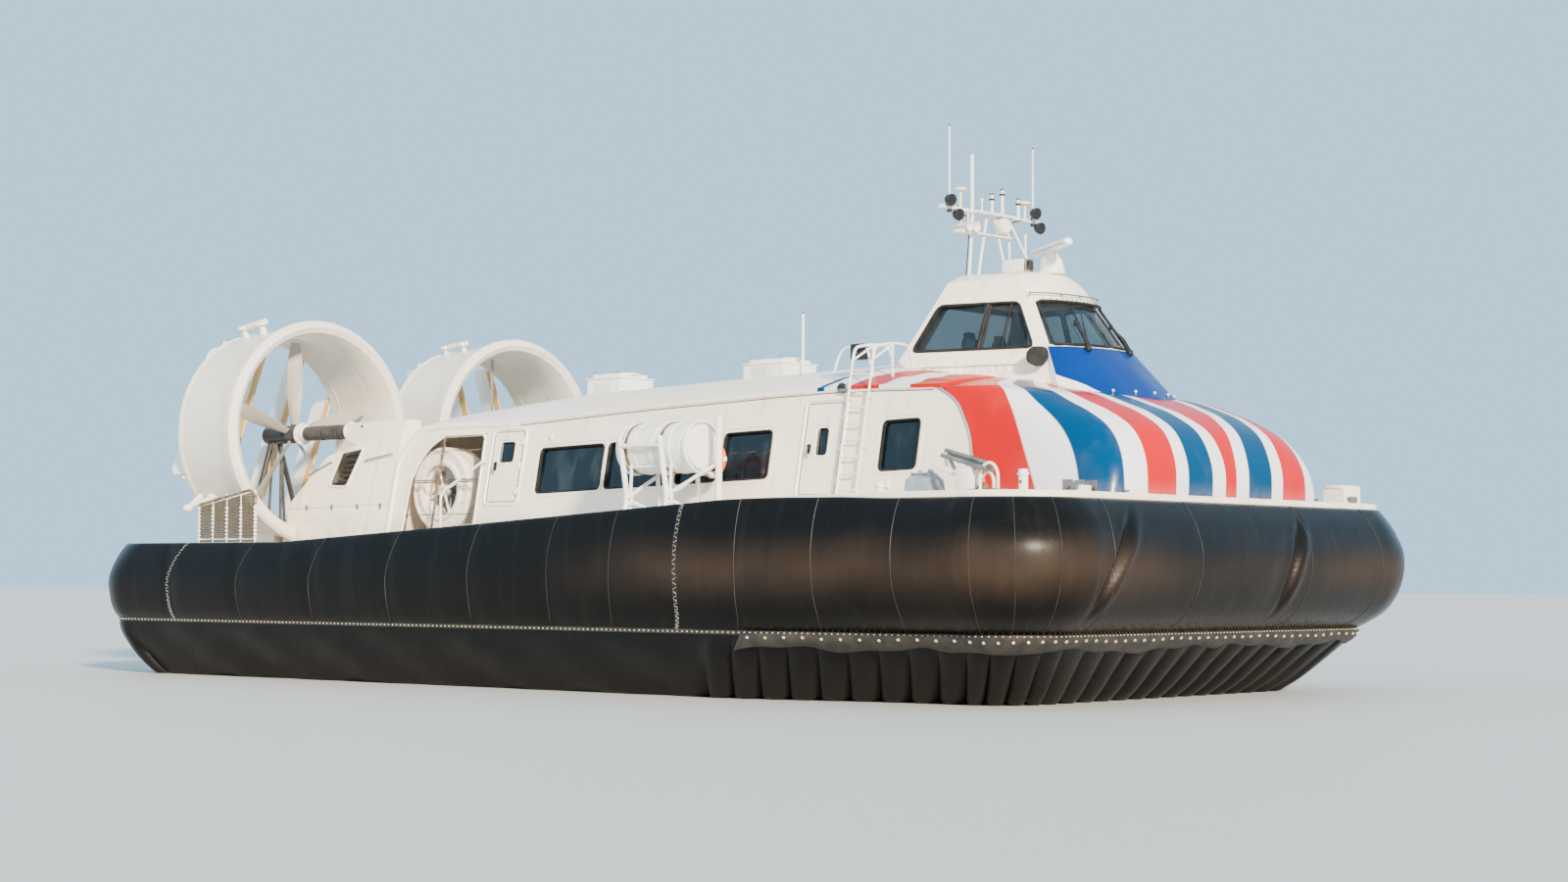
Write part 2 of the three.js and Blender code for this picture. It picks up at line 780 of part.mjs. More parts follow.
// The flared panel from the windscreen down to the bow dome
const APRON_ROWS = [
  [5925, 8300, 1100, 8560, 1215, 500],
  [5130, 8300, 1200, 9000, 1420, 860],
  [4850, 8300, 1300, 9150, 1560, 1050],
];
function apron() {
  const flare = convex(APRON_ROWS.flatMap((row) => houseRow(row, 0)));
  return cut(flare, houseHull(-GAP), belowDome, belowRoof);
}
add("wheelhouse_apron", apron(), "blue");

// Mast on the wheelhouse roof: two posts and an inverted V under a yard
const MAST = { x: 6470, top: 8470, reach: 1450 };
const HOUSE_TOP = HOUSE_CAP[0];
function mast() {
  const { x, top, reach } = MAST;
  const foot = HOUSE_TOP + GAP;
  const pieces = [box([x - 40, -680, foot], [x + 120, 680, foot + 25])];
  const member = (from, to, radius) => pieces.push(bar(from, to, radius, 8));
  for (const side of [-1, 1]) {
    member([x, 630 * side, foot + 10], [x, 520 * side, top], 30);
    member([x + 60, 440 * side, foot + 10], [x, 100 * side, top], 28);
  }
  pieces.push(box([x - 160, -560, top - 20], [x + 160, 560, top + 20]));
  pieces.push(box([x - 120, -520, 8080], [x + 100, 520, 8110]));
  member([x, -reach, top + 10], [x, reach, top + 10], 38);
  for (const [y, height, radius] of [
    [-1200, 9940, 17],
    [-540, 9480, 34],
    [1300, 9830, 17],
  ]) {
    member([x, y, top], [x, y, height], radius);
  }
  return join(...pieces);
}
add("mast", mast(), "cream");

const RADAR = { x: 7800, foot: HOUSE_TOP + GAP, top: 7660, reach: 900, turn: -0.62 };
function radarPedestal() {
  const { x, foot, top } = RADAR;
  return turned(
    [
      [0, 0],
      [230, 0],
      [230, 90],
      [190, 250],
      [110, top - foot],
      [0, top - foot],
    ],
    16,
    [x, 0, foot],
    "z",
  );
}
function radarScanner() {
  const { x, top, reach, turn } = RADAR;
  const arm = new THREE.BoxGeometry(2 * reach, 150, 130);
  arm.rotateZ(turn);
  arm.translate(x, 0, top + 125);
  return join(bar([x, 0, top + GAP], [x, 0, top + 90], 70, 16), solid(arm));
}
const houseTopFront = box([7250, -520, HOUSE_TOP + GAP], [7560, -300, 7560]);
add("radar_pedestal", cut(radarPedestal(), houseHull(-GAP, [HOUSE_ROWS[3], HOUSE_CAP])), "cream");
add("radar_scanner", radarScanner(), "white");
add("searchlight", houseTopFront, "cream");

// Engine cowl: side profile from the deck over the top, all convex
const COWL_INNER = 1900;
const COWL_FRONT = CABIN_AFT - 1;
const COWL_PROFILE = [
  [-9020, AFT_DECK + GAP],
  [-8920, 3540],
  [-8010, 4430],
  [-6480, 4800],
  [COWL_FRONT, 4950],
  [COWL_FRONT, AFT_DECK + GAP],
];
function cowlBlock(inset, floor) {
  const points = [];
  for (const [x, z] of COWL_PROFILE) {
    const xx = x === COWL_FRONT ? x - inset : x + inset;
    for (const zz of z < AFT_DECK + 100 ? [z, z - floor] : [z - inset]) {
      points.push([xx, -(wallY(z) - inset), zz], [xx, -(COWL_INNER + inset), zz]);
    }
  }
  return convex(points);
}
const SHAFT = { radius: 110, front: -7800 };
const COWL_VENT = [
  [-7800, 3810],
  [-7230, 3790],
  [-6880, 4580],
  [-7560, 4500],
];
function cowl() {
  const vent = prism(shapeOf(COWL_VENT), -5000, -2600, ACROSS);
  const fairing = convex([
    [-7680, -DUCT_Y - 180, 4780],
    [-7680, -DUCT_Y + 180, 4780],
    [-7680, -DUCT_Y - 160, 5110],
    [-7680, -DUCT_Y + 160, 5110],
    [-7100, -DUCT_Y - 200, 4600],
    [-7100, -DUCT_Y + 200, 4600],
    [COWL_FRONT, -DUCT_Y - 260, 4850],
    [COWL_FRONT, -DUCT_Y + 260, 4850],
    [COWL_FRONT, -DUCT_Y - 180, 5130],
    [COWL_FRONT, -DUCT_Y + 180, 5130],
  ]);
  const bore = bar([-8000, -DUCT_Y, DUCT_Z], [-7500, -DUCT_Y, DUCT_Z], SHAFT.radius + 12, 16);
  return cut(join(cowlBlock(0, 0), fairing), cowlBlock(WALL, 200), bore, vent);
}
addPair("engine_cowl", cowl(), "cream");
addPair(
  "engine_block",
  box([-8100, -3050, AFT_DECK + GAP], [-6400, -2150, 3900]),
  "metal",
);

// Propeller duct: radius, distance ahead of the rear rim
const DUCT_PROFILE = [
  [THROAT_RADIUS + 30, 0],
  [2150, 0],
  [2215, 1200],
  [2280, 1600],
  [2335, 1800],
  [2340, 1900],
  [2290, 1970],
  [2200, DUCT_LENGTH],
  [2090, 1930],
  [2010, 1750],
  [THROAT_RADIUS, 1420],
  [THROAT_RADIUS + 30, 0],
];
const BEARING = { front: -9750, rear: -10400, radius: 190 };

const RUDDERS = [-1.5, -0.5, 0.5, 1.5];
const RUDDER_SPACING = 1050;
const RIM_RADIUS = 2125;
const LOWER_BEAM = { low: AFT_DECK + 52, high: AFT_DECK + 120 };

// The ends of a rudder's stock inside the rear rim, at a number of spacings off the middle
function rudderEnds(k) {
  const stock = V3(0, Math.sin(RUDDER_CANT), Math.cos(RUDDER_CANT));
  const across = V3(0, Math.cos(RUDDER_CANT), -Math.sin(RUDDER_CANT));
  const off = k * RUDDER_SPACING * Math.cos(RUDDER_CANT);
  const middle = V3(RUDDER_X, -DUCT_Y, DUCT_Z).addScaledVector(across, off);
  const half = Math.sqrt(RIM_RADIUS ** 2 - off ** 2);
  const lowest = (LOWER_BEAM.high - middle.z) / stock.z;
  const bottom = Math.max(-half + 60, lowest + 25);
  return {
    low: middle.clone().addScaledVector(stock, bottom),
    high: middle.clone().addScaledVector(stock, half - 60),
    stock,
  };
}

function duct() {
  const body = turned(DUCT_PROFILE, 40, [DUCT_REAR, -DUCT_Y, DUCT_Z]);
  const saddle = box(
    [-10400, -DUCT_Y - 700, AFT_DECK + GAP],
    [-9300, -DUCT_Y + 700, 2960],
  );
  const rear = [BEARING.rear, -DUCT_Y, DUCT_Z];
  const bearing = bar(rear, [BEARING.front, -DUCT_Y, DUCT_Z], BEARING.radius, 16);
  const pieces = [saddle, bearing];
  for (const side of [-1, 1]) {
    const head = [-10200, -DUCT_Y + 60 * side, DUCT_Z];
    pieces.push(bar(head, [-10150, -DUCT_Y + 640 * side, 3020], 55, 8));
  }
  for (const k of RUDDERS) {
    const { low, high, stock } = rudderEnds(k);
    // brackets reach aft from the rim past each end of the rudder stock
    for (const [end, sign] of [
      [high, 1],
      [low, -1],
    ]) {
      const seat = end.clone().addScaledVector(stock, sign * GAP);
      const far = end.clone().addScaledVector(stock, sign * 90);
      pieces.push(bar(seat.toArray(), far.toArray(), 55, 8));
      const arm = far.clone().addScaledVector(stock, -sign * 28);
      const rim = V3(0, arm.y + DUCT_Y, arm.z - DUCT_Z).setLength(RIM_RADIUS);
      const root = V3(DUCT_REAR + 60, rim.y - DUCT_Y, rim.z + DUCT_Z);
      pieces.push(bar(arm.toArray(), root.toArray(), 26, 6));
    }
  }
  return join(body, ...pieces);
}
addPair("duct", duct(), "cream", cowlBlock(-GAP, 100), mirrored(cowlBlock(-GAP, 100)), belowDeck);

function propeller() {
  const hub = turned(
    [
      [0, 0],
      [180, 0],
      [180, 330],
      [130, 430],
      [SHAFT.radius + 40, 460],
      [0, 460],
    ],
    24,
    [BEARING.front + GAP, -DUCT_Y, DUCT_Z],
  );
  const bladeX = BEARING.front + 190;
  // radius, chord, thickness, pitch angle in degrees
  const stations = [
    [120, 150, 90, 62],
    [420, 230, 60, 54],
    [1000, 330, 42, 40],
    [1600, 300, 28, 31],
    [1925, 190, 16, 28],
  ];
  const outline = [
    [-0.5, 0],
    [-0.2, 0.5],
    [0.25, 0.4],
    [0.5, 0],
    [0.25, -0.4],
    [-0.2, -0.5],
  ];
  const blades = [];
  for (let n = 0; n < 5; n++) {
    const spin = (2 * Math.PI * n) / 5;
    const sections = stations.map(([r, chord, thick, pitch]) => {
      const p = THREE.MathUtils.degToRad(pitch);
      return outline.map(([u, w]) => {
        const [a, b] = [u * chord, w * thick];
        const t = a * Math.cos(p) - b * Math.sin(p);
        return [
          bladeX + a * Math.sin(p) + b * Math.cos(p),
          -DUCT_Y + t * Math.cos(spin) - r * Math.sin(spin),
          DUCT_Z + t * Math.sin(spin) + r * Math.cos(spin),
        ];
      });
    });
    blades.push(loft(sections));
  }
  const tail = [BEARING.front + 250, -DUCT_Y, DUCT_Z];
  const shaft = bar(tail, [SHAFT.front + 200, -DUCT_Y, DUCT_Z], SHAFT.radius, 16);
  return join(hub, shaft, ...blades);
}
addPair("propeller", propeller(), "black");

function rudder(k) {
  const { low, high, stock } = rudderEnds(k);
  const pin = bar(low.toArray(), high.toArray(), 32, 8);
  const across = V3(0, Math.cos(RUDDER_CANT), -Math.sin(RUDDER_CANT));
  const length = low.distanceTo(high);
  // blade plan: distance aft of the stock, distance up it
  const frame = frameOf([-1, 0, 0], stock.toArray(), across.toArray(), low.toArray());
  const plan = [
    [-90, 30],
    [380, 30],
    [500, 150],
    [500, length - 200],
    [420, length - 60],
    [300, length - 30],
    [-90, length - 30],
  ];
  return join(pin, prism(shapeOf(plan), -22, 22, frame));
}
RUDDERS.forEach((k, i) => addPair("rudder_" + (i + 1), rudder(k), "white"));

// Lift fans in the bays behind the arches: a round casing with an inlet facing outboard
const FAN = { x: -4620, y: -3100, z: 3680, bore: 480, casing: 850 };
function fanIntake() {
  const { x, y, z, bore, casing } = FAN;
  const rim = turned(
    [
      [bore, 120],
      [bore, 480],
      [casing, 480],
      [casing, 60],
      [casing - 60, 0],
      [bore + 160, 0],
      [bore + 80, 20],
      [bore, 120],
    ],
    32,
    [x, y, z],
    "y",
  );
  const foot = box([x - 500, y + 80, AFT_DECK], [x + 500, y + 420, z - casing + 240]);
  const spokes = [0, 90].map((deg) => {
    const a = THREE.MathUtils.degToRad(deg + 20);
    const [c, s] = [Math.cos(a) * (bore + 60), Math.sin(a) * (bore + 60)];
    return bar([x - c, y + 90, z - s], [x + c, y + 90, z + s], 24, 8);
  });
  const hub = bar([x, y + 20, z], [x, y + 140, z], 110, 16);
  return join(rim, foot, ...spokes, hub);
}
addPair("fan_intake", fanIntake(), "cream", belowDeck);

function liftFan() {
  const y = FAN.y + 140 + GAP;
  const hub = bar([FAN.x, y, FAN.z], [FAN.x, y + 200, FAN.z], 150, 16);
  const blades = [];
  for (let n = 0; n < 8; n++) {
    const spin = (2 * Math.PI * n) / 8;
    const sections = [
      [100, 140],
      [FAN.bore - 15, 190],
    ].map(([r, chord]) =>
      [
        [-0.5, -0.05],
        [0.5, -0.05],
        [0.5, 0.05],
        [-0.5, 0.05],
      ].map(([u, w]) => {
        const across = u * chord * 0.8 - w * chord * 0.6;
        const deep = u * chord * 0.6 + w * chord * 0.8;
        return [
          FAN.x + across * Math.cos(spin) - r * Math.sin(spin),
          y + 110 + deep,
          FAN.z + across * Math.sin(spin) + r * Math.cos(spin),
        ];
      }),
    );
    blades.push(loft(sections));
  }
  return join(hub, ...blades);
}
addPair("lift_fan", liftFan(), "black");

// Roof air conditioning units: x from, x to
for (const [name, x0, x1, top] of [
  ["roof_unit_aft", -3200, -2300, 6040],
  ["roof_unit_forward", 1000, 2000, 6120],
]) {
  const low = box([x0, -480, 5300], [x1, 480, top - 80]);
  const lid = box([x0 + 90, -400, top - 140], [x1 - 90, 400, top]);
  add(name, cut(join(low, lid), belowRoof), "white");
}

// Boarding ladder up the side wall and over the roof edge
function ladder() {
  const out = -110;
  const at = (x, z, w = out) => V3(x, wallV(z), w).applyMatrix4(STARBOARD_WALL).toArray();
  const pieces = [];
  for (const x of [5800, 6240]) {
    pieces.push(bar(at(x, 3000), at(x, 5700), 22, 6));
    pieces.push(bar(at(x, 5690), [x, -2500, 5990], 22, 6));
    pieces.push(bar([x, -2500, 6000], [x, -2500, 5300], 22, 6));
  }
  for (let z = 3450; z < 5700; z += 285) pieces.push(bar(at(5800, z), at(6240, z), 15, 6));
  return join(...pieces);
}
addPair("ladder", ladder(), "white", belowRoof, belowDeck);

// Life raft canister in its cradle on the side deck
function lifeRaft() {
  const [x0, x1, y, z, r] = [1850, 3460, -4300, 4250, 445];
  const drum = turned(
    [
      [0, 0],
      [r - 90, 0],
      [r, 120],
      [r, x1 - x0 - 120],
      [r - 90, x1 - x0],
      [0, x1 - x0],
    ],
    20,
    [x0, y, z],
  );
  const pieces = [drum];
  const rail = z - 330;
  for (const x of [2100, 3050]) {
    for (const side of [-1, 1]) {
      pieces.push(bar([x, y + side * 380, 2900], [x, y + side * 330, z - 200], 28, 6));
    }
    pieces.push(bar([x, y - 370, rail], [x, y + 370, rail], 28, 6));
  }
  for (const side of [-1, 1]) {
    pieces.push(bar([2100, y + side * 350, rail], [3050, y + side * 350, rail], 24, 6));
  }
  return join(...pieces);
}
addPair("life_raft", lifeRaft(), "white", belowDeck);

// Guard fence beside the lip of each duct
function sternFence() {
  const y = -5300;
  const [x0, x1] = [-9400, -7600];
  const pieces = [];
  for (let n = 0; n < 5; n++) {
    const x = x0 + ((x1 - x0) * n) / 4;
    pieces.push(bar([x, y, AFT_DECK + GAP], [x, y, 3400 + 70 * n], 20, 6));
  }
  pieces.push(bar([x0, y, 3390], [x1, y, 3670], 20, 6));
  pieces.push(bar([x0, y, 2720], [x1, y, 2720], 16, 6));
  return join(...pieces);
}
addPair("stern_fence", sternFence(), "cream");

// Foredeck: a mooring roller to starboard and a locker to port of the bow
const FOREDECK = DECK_TOP + GAP;
add("bow_locker", box([10950, 3850, FOREDECK], [11350, 4450, 3640]), "cream");
function bowRoller() {
  const [x, y0, y1] = [11050, -4250, -3500];
  const base = box([x - 110, y0, FOREDECK], [x + 110, y1, FOREDECK + 20]);
  const drum = bar([x, y0, 3440], [x, y1, 3440], 60, 12);
  const cheeks = [y0 + 50, (y0 + y1) / 2, y1 - 50].map((y) =>
    box([x - 90, y - 15, FOREDECK], [x + 90, y + 15, 3530]),
  );
  return join(base, drum, ...cheeks);
}
add("bow_roller", bowRoller(), "metal");

// Seats in rows, fixed to floor rails
function seats() {
  const pieces = [];
  const floor = DECK_TOP + GAP;
  for (const side of [-1, 1]) {
    const rail = side * 1500;
    pieces.push(box([-2600, rail - 40, floor], [4500, rail + 40, floor + 30]));
    const [y0, y1] = side < 0 ? [-2650, -480] : [480, 2650];
    for (let x = -2300; x < 4300; x += 920) {
      pieces.push(box([x, rail - 40, floor + 10], [x + 80, rail + 40, floor + 400]));
      pieces.push(box([x - 60, y0, floor + 380], [x + 420, y1, floor + 480]));
      pieces.push(box([x - 60, y0, floor + 380], [x + 40, y1, floor + 1100]));
    }
  }
  pieces.push(box([-2600, -1540, floor], [-2500, 1540, floor + 30]));
  return join(...pieces);
}
add("cabin_seats", seats(), "seat");

export default hovercraft;
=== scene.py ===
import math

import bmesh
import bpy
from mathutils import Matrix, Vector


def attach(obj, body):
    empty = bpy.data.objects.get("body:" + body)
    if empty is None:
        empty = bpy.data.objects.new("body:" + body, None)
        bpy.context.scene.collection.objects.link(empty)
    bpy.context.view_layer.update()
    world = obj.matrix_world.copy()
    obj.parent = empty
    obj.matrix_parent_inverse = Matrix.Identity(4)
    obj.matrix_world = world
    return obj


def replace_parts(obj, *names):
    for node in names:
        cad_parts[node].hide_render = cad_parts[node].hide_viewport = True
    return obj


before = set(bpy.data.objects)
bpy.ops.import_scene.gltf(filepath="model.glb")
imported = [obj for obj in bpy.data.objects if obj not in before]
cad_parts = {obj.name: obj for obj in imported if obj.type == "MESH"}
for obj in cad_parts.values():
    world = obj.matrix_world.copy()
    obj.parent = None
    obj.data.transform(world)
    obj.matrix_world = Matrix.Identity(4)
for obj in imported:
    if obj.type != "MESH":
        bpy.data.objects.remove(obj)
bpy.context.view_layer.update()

# %% [markdown]
# # A twin-duct passenger hovercraft
# The rigid body comes from the CAD frame. This file gives every surface its finish, shapes the
# inflated rubber skirt with its fingers, and adds the fittings that a photograph of such a craft
# shows: gaskets, rails, straps, lamps, wipers and the mast's instruments. Everything is in metres,
# with the bow along +X, port along +Y and the ground at zero height.

PORT, STARBOARD = 1, -1
BOTH = (STARBOARD, PORT)
SIDE_NAMES = {STARBOARD: "starboard", PORT: "port"}
AXIS_X = Vector((1, 0, 0))
AXIS_Y = Vector((0, 1, 0))
AXIS_Z = Vector((0, 0, 1))

# %% [markdown]
# ## The camera
# The photograph was taken with a long lens from well off the starboard bow, close to the ground.
# The place and the angles come from fitting known edges of the craft to the picture, so the
# camera is built from its own three axes.

# %% Camera
CAMERA_PLACE = Vector((34.354, -37.71, 2.037))
CAMERA_YAW = math.radians(40.968)
CAMERA_PITCH = math.radians(2.918)
CAMERA_ROLL = math.radians(0.191)
CAMERA_LENS = 60.46
CRAFT_MIDDLE = Vector((0, 0, 3))

ahead = Vector(
    (
        -math.sin(CAMERA_YAW) * math.cos(CAMERA_PITCH),
        math.cos(CAMERA_YAW) * math.cos(CAMERA_PITCH),
        math.sin(CAMERA_PITCH),
    )
)
level_right = Vector((math.cos(CAMERA_YAW), math.sin(CAMERA_YAW), 0))
level_up = level_right.cross(ahead)
right = level_right * math.cos(CAMERA_ROLL) + level_up * math.sin(CAMERA_ROLL)
up = level_up * math.cos(CAMERA_ROLL) - level_right * math.sin(CAMERA_ROLL)
turn = Matrix((right, up, -ahead)).transposed().to_4x4()

lens = bpy.data.cameras.new("photo_camera")
lens.lens = CAMERA_LENS
lens.clip_end = 600
camera = bpy.data.objects.new("photo_camera", lens)
camera.matrix_world = Matrix.Translation(CAMERA_PLACE) @ turn
bpy.context.scene.collection.objects.link(camera)
bpy.context.scene.camera = camera
print("camera is", round((CAMERA_PLACE - CRAFT_MIDDLE).length, 1), "m from the craft")

# %% [markdown]
# ## Floor, sky and sun
# The craft stands on a plain pale floor. A soft blue sky from the world fills the shade. A warm sun
# comes low from the bow, as in the photograph, so the front of the wheelhouse is brighter than its
# side, and a weak broad lamp lifts the side.

# %% Floor
FLOOR_REACH = 260
FLOOR_COLOUR = (0.54, 0.53, 0.51, 1)
FLOOR_ROUGHNESS = 0.55
floor_mesh = bmesh.new()
bmesh.ops.create_grid(floor_mesh, x_segments=4, y_segments=4, size=FLOOR_REACH)
floor_data = bpy.data.meshes.new("studio_floor")
floor_mesh.to_mesh(floor_data)
floor_mesh.free()
studio_floor = bpy.data.objects.new("studio_floor", floor_data)
bpy.context.scene.collection.objects.link(studio_floor)
floor_paint = bpy.data.materials.new("studio_floor")
floor_paint.use_nodes = True
floor_shader = floor_paint.node_tree.nodes["Principled BSDF"]
floor_shader.inputs["Base Color"].default_value = FLOOR_COLOUR
floor_shader.inputs["Roughness"].default_value = FLOOR_ROUGHNESS
floor_data.materials.append(floor_paint)

# %% Light
SKY_COLOUR = (0.47, 0.76, 1.0, 1)
SKY_STRENGTH = 1.45
LAMPS = (
    # name, direction towards the lamp, strength, spread in degrees, colour
    ("sun", (0.86, -0.46, 0.40), 10.5, 6, (1.0, 0.85, 0.66)),
    ("fill", (0.10, -0.95, 0.25), 1.5, 50, (1.0, 0.86, 0.68)),
)
world = bpy.data.worlds.new("studio_sky")
world.use_nodes = True
sky = world.node_tree.nodes["Background"]
sky.inputs["Color"].default_value = SKY_COLOUR
sky.inputs["Strength"].default_value = SKY_STRENGTH
bpy.context.scene.world = world

for name, towards, strength, spread, colour in LAMPS:
    light = bpy.data.lights.new(name, "SUN")
    light.energy = strength
    light.angle = math.radians(spread)
    light.color = colour
    lamp = bpy.data.objects.new(name, light)
    lamp.rotation_euler = Vector(towards).to_track_quat("Z", "Y").to_euler()
    bpy.context.scene.collection.objects.link(lamp)
print(len(LAMPS), "lamps and a sky")

# %% [markdown]
# ## Shader maths
# A finish needs many small sums of masks. Wiring each one by hand is slow to read, so one class
# wraps a socket and lets ordinary operators add the Math nodes, and a second one holds a material
# with the few node recipes that all the finishes share.


# %% A socket that takes part in sums
def plug(tree, socket, item):
    if isinstance(item, Value):
        tree.links.new(item.socket, socket)
    else:
        socket.default_value = item


class Value:
    """A shader socket that can be added, subtracted, multiplied and raised to a power."""

    def __init__(self, tree, socket):
        self.tree = tree
        self.socket = socket

    def maths(self, operation, *items):
        node = self.tree.nodes.new("ShaderNodeMath")
        node.operation = operation
        for socket, item in zip(node.inputs, items):
            plug(self.tree, socket, item)
        return Value(self.tree, node.outputs[0])

    def __add__(self, other):
        return self.maths("ADD", self, other)

    def __radd__(self, other):
        return self.maths("ADD", other, self)

    def __sub__(self, other):
        return self.maths("SUBTRACT", self, other)

    def __rsub__(self, other):
        return self.maths("SUBTRACT", other, self)

    def __mul__(self, other):
        return self.maths("MULTIPLY", self, other)

    def __pow__(self, other):
        return self.maths("POWER", self, other)


# %% A material and its recipes
class Finish:
    """One material, with its shader, its texture coordinates and the nodes that vary it."""

    def __init__(self, name, roughness=0.5, metallic=0.0, **fixed):
        self.material = bpy.data.materials.new(name)
        self.material.use_nodes = True
        self.tree = self.material.node_tree
        self.shader = self.tree.nodes["Principled BSDF"]
        self.shader.inputs["Roughness"].default_value = roughness
        self.shader.inputs["Metallic"].default_value = metallic
        for key, value in fixed.items():
            self.shader.inputs[key.replace("_", " ")].default_value = value
        self.spot = self.node("TexCoord", output=3)

    def node(self, kind, inputs=None, output=0, **settings):
        node = self.tree.nodes.new("ShaderNode" + kind)
        for key, value in settings.items():
            setattr(node, key, value)
        for key, item in (inputs or {}).items():
            plug(self.tree, node.inputs[key], item)
        return Value(self.tree, node.outputs[output])

    def axes(self):
        """The places along the craft, towards port and up."""
        split = self.node("SeparateXYZ", {0: self.spot})
        return [Value(self.tree, socket) for socket in split.socket.node.outputs]

    def aside(self):
        """The distance from the craft's middle plane, on either side of it."""
        return self.node("Math", {0: self.axes()[1]}, operation="ABSOLUTE")

    def noise(self, scale, detail=3.0, stretch=(1, 1, 1)):
        spread = self.node("Mapping", {"Vector": self.spot, "Scale": stretch})
        return self.node("TexNoise", {"Vector": spread, "Scale": scale, "Detail": detail})

    def step(self, value, low, high):
        inputs = {0: value, 1: low, 2: high}
        return self.node("MapRange", inputs, interpolation_type="SMOOTHSTEP")

    def patches(self, scale=0.7, detail=4, low=0.35, high=0.7):
        """A mask of soft patches, as where paint has dulled."""
        return self.step(self.noise(scale, detail), low, high)

    def runs(self, stretch=(5, 5, 0.3), low=0.54, high=0.78):
        """A mask of the streaks that running water leaves."""
        return self.step(self.noise(1, 5, stretch), low, high)

    def mix(self, mask, one, other):
        return self.node("Mix", {0: mask, 6: one, 7: other}, output=2, data_type="RGBA")

    def wear(self, **links):
        for key, item in links.items():
            plug(self.tree, self.shader.inputs[key.replace("_", " ")], item)
        return self.material

    def bump(self, height, strength, distance):
        inputs = {"Height": height, "Strength": strength, "Distance": distance}
        return self.node("Bump", inputs)


# %% [markdown]
# ## Painted surfaces
# The superstructure is aluminium under warm cream gloss paint. Salt spray leaves faint vertical
# runs, the paint is a little duller in patches, and dirt gathers low down near the skirt. The
# shell plates are never quite flat, so a broad weak bump makes reflections wander.


# %% Paint
def paint(name, colour, dirt, dirt_amount=0.5, roughness=0.32, low=3.35, high=2.85):
    look = Finish(name, roughness, Coat_Weight=0.25, Coat_Roughness=0.12)
    height = look.axes()[2]
    patches = look.patches()
    runs = look.runs()
    foot = look.step(height, low, high) * look.step(look.noise(2.2, 5), 0.3, 0.65)
    speckle = look.step(look.noise(38, 3), 0.66, 0.74) * patches
    pale = tuple(min(1, c * 1.06) for c in colour[:3]) + (1,)
    body = look.mix(patches, colour, pale)
    soiling = runs * 0.28 + foot * dirt_amount + speckle * 0.2
    body = look.mix(soiling, body, dirt)
    plates = look.noise(0.9, 2) + look.noise(60, 2) * 0.02
    return look.wear(
        Base_Color=body,
        Roughness=roughness + patches * 0.1 + soiling * 0.3,
        Normal=look.bump(plates, 0.25, 0.02),
    )


CREAM = (0.91, 0.81, 0.67, 1)
WHITE = (0.83, 0.82, 0.78, 1)
GRIME = (0.36, 0.29, 0.21, 1)
cream = paint("cream_paint", CREAM, GRIME)
white = paint("white_paint", WHITE, (0.45, 0.40, 0.33, 1), 0.35, 0.3)
warm_white = paint("mast_paint", (0.80, 0.76, 0.68, 1), (0.42, 0.33, 0.22, 1), 0.3)
duct_cream = paint("duct_paint", (0.80, 0.75, 0.66, 1), (0.45, 0.38, 0.29, 1), 0.35, 0.3)

# %% [markdown]
# The deck's edge is painted like the cabin, but its top carries a grey non-slip coat. The shader
# tells them apart by which way the surface faces.


# %% Deck coating
def deck_finish():
    look = Finish("deck_coating", 0.6)
    upward = look.node("SeparateXYZ", {0: look.node("NewGeometry", output=1)}, output=2)
    top = look.step(upward, 0.7, 0.9)
    grit = look.noise(160, 2)
    scuffs = look.patches(1.4, 5, 0.45)
    rim = look.mix(look.step(look.noise(3, 5, (1, 1, 6)), 0.5, 0.75) * 0.35, CREAM, GRIME)
    coat = look.mix(scuffs * 0.5, (0.52, 0.50, 0.46, 1), (0.36, 0.34, 0.30, 1))
    return look.wear(
        Base_Color=look.mix(top, rim, coat),
        Roughness=0.4 + top * 0.35,
        Normal=look.bump(grit * top, 0.5, 0.004),
    )


deck_coat = deck_finish()


# %% [markdown]
# ## Paint of the ducts, blades and rudders
# The parts near the propeller's axis are black: the bearing, its legs and the shaft. The blades are
# a dull grey, and the rudders have a yellow leading edge. Each is picked out by its place.


# %% Rotor finishes
DUCT_ASIDE = 2.80
DUCT_HEIGHT = 4.95
EDGE_BLUR = 0.006
RUDDER_EDGE = -10.80


def rotor_finish(name, colour, shade, inner, roughness):
    """Black within a radius of the propeller's axis, and a pale paint outside it."""
    look = Finish(name, roughness, Coat_Weight=0.15, Coat_Roughness=0.15)
    across = look.aside() - DUCT_ASIDE
    rise = look.axes()[2] - DUCT_HEIGHT
    radius = (across * across + rise * rise) ** 0.5
    patches = look.patches(1.1)
    runs = look.runs()
    pale = look.mix(patches * 0.6 + runs * 0.2, colour, shade)
    dark = look.mix(patches, (0.010, 0.010, 0.011, 1), (0.030, 0.028, 0.025, 1))
    return look.wear(
        Base_Color=look.mix(look.step(radius, inner, inner + EDGE_BLUR), dark, pale),
        Roughness=roughness + patches * 0.12,
        Normal=look.bump(look.noise(0.9, 2) + look.noise(70, 2) * 0.02, 0.2, 0.02),
    )


def rudder_finish():
    look = Finish("rudder_paint", 0.35)
    uneven = look.axes()[0] + look.noise(3, 4) * 0.02
    runs = look.runs(low=0.5, high=0.75)
    edge = look.step(uneven, RUDDER_EDGE, RUDDER_EDGE + EDGE_BLUR)
    yellow = look.mix(runs * 0.6, (0.72, 0.38, 0.08, 1), (0.55, 0.33, 0.13, 1))
    body = look.mix(runs * 0.3, WHITE, (0.45, 0.40, 0.33, 1))
    return look.wear(
        Base_Color=look.mix(edge, body, yellow),
        Roughness=0.32 + runs * 0.15,
        Normal=look.bump(look.noise(1.2, 2), 0.2, 0.01),
    )


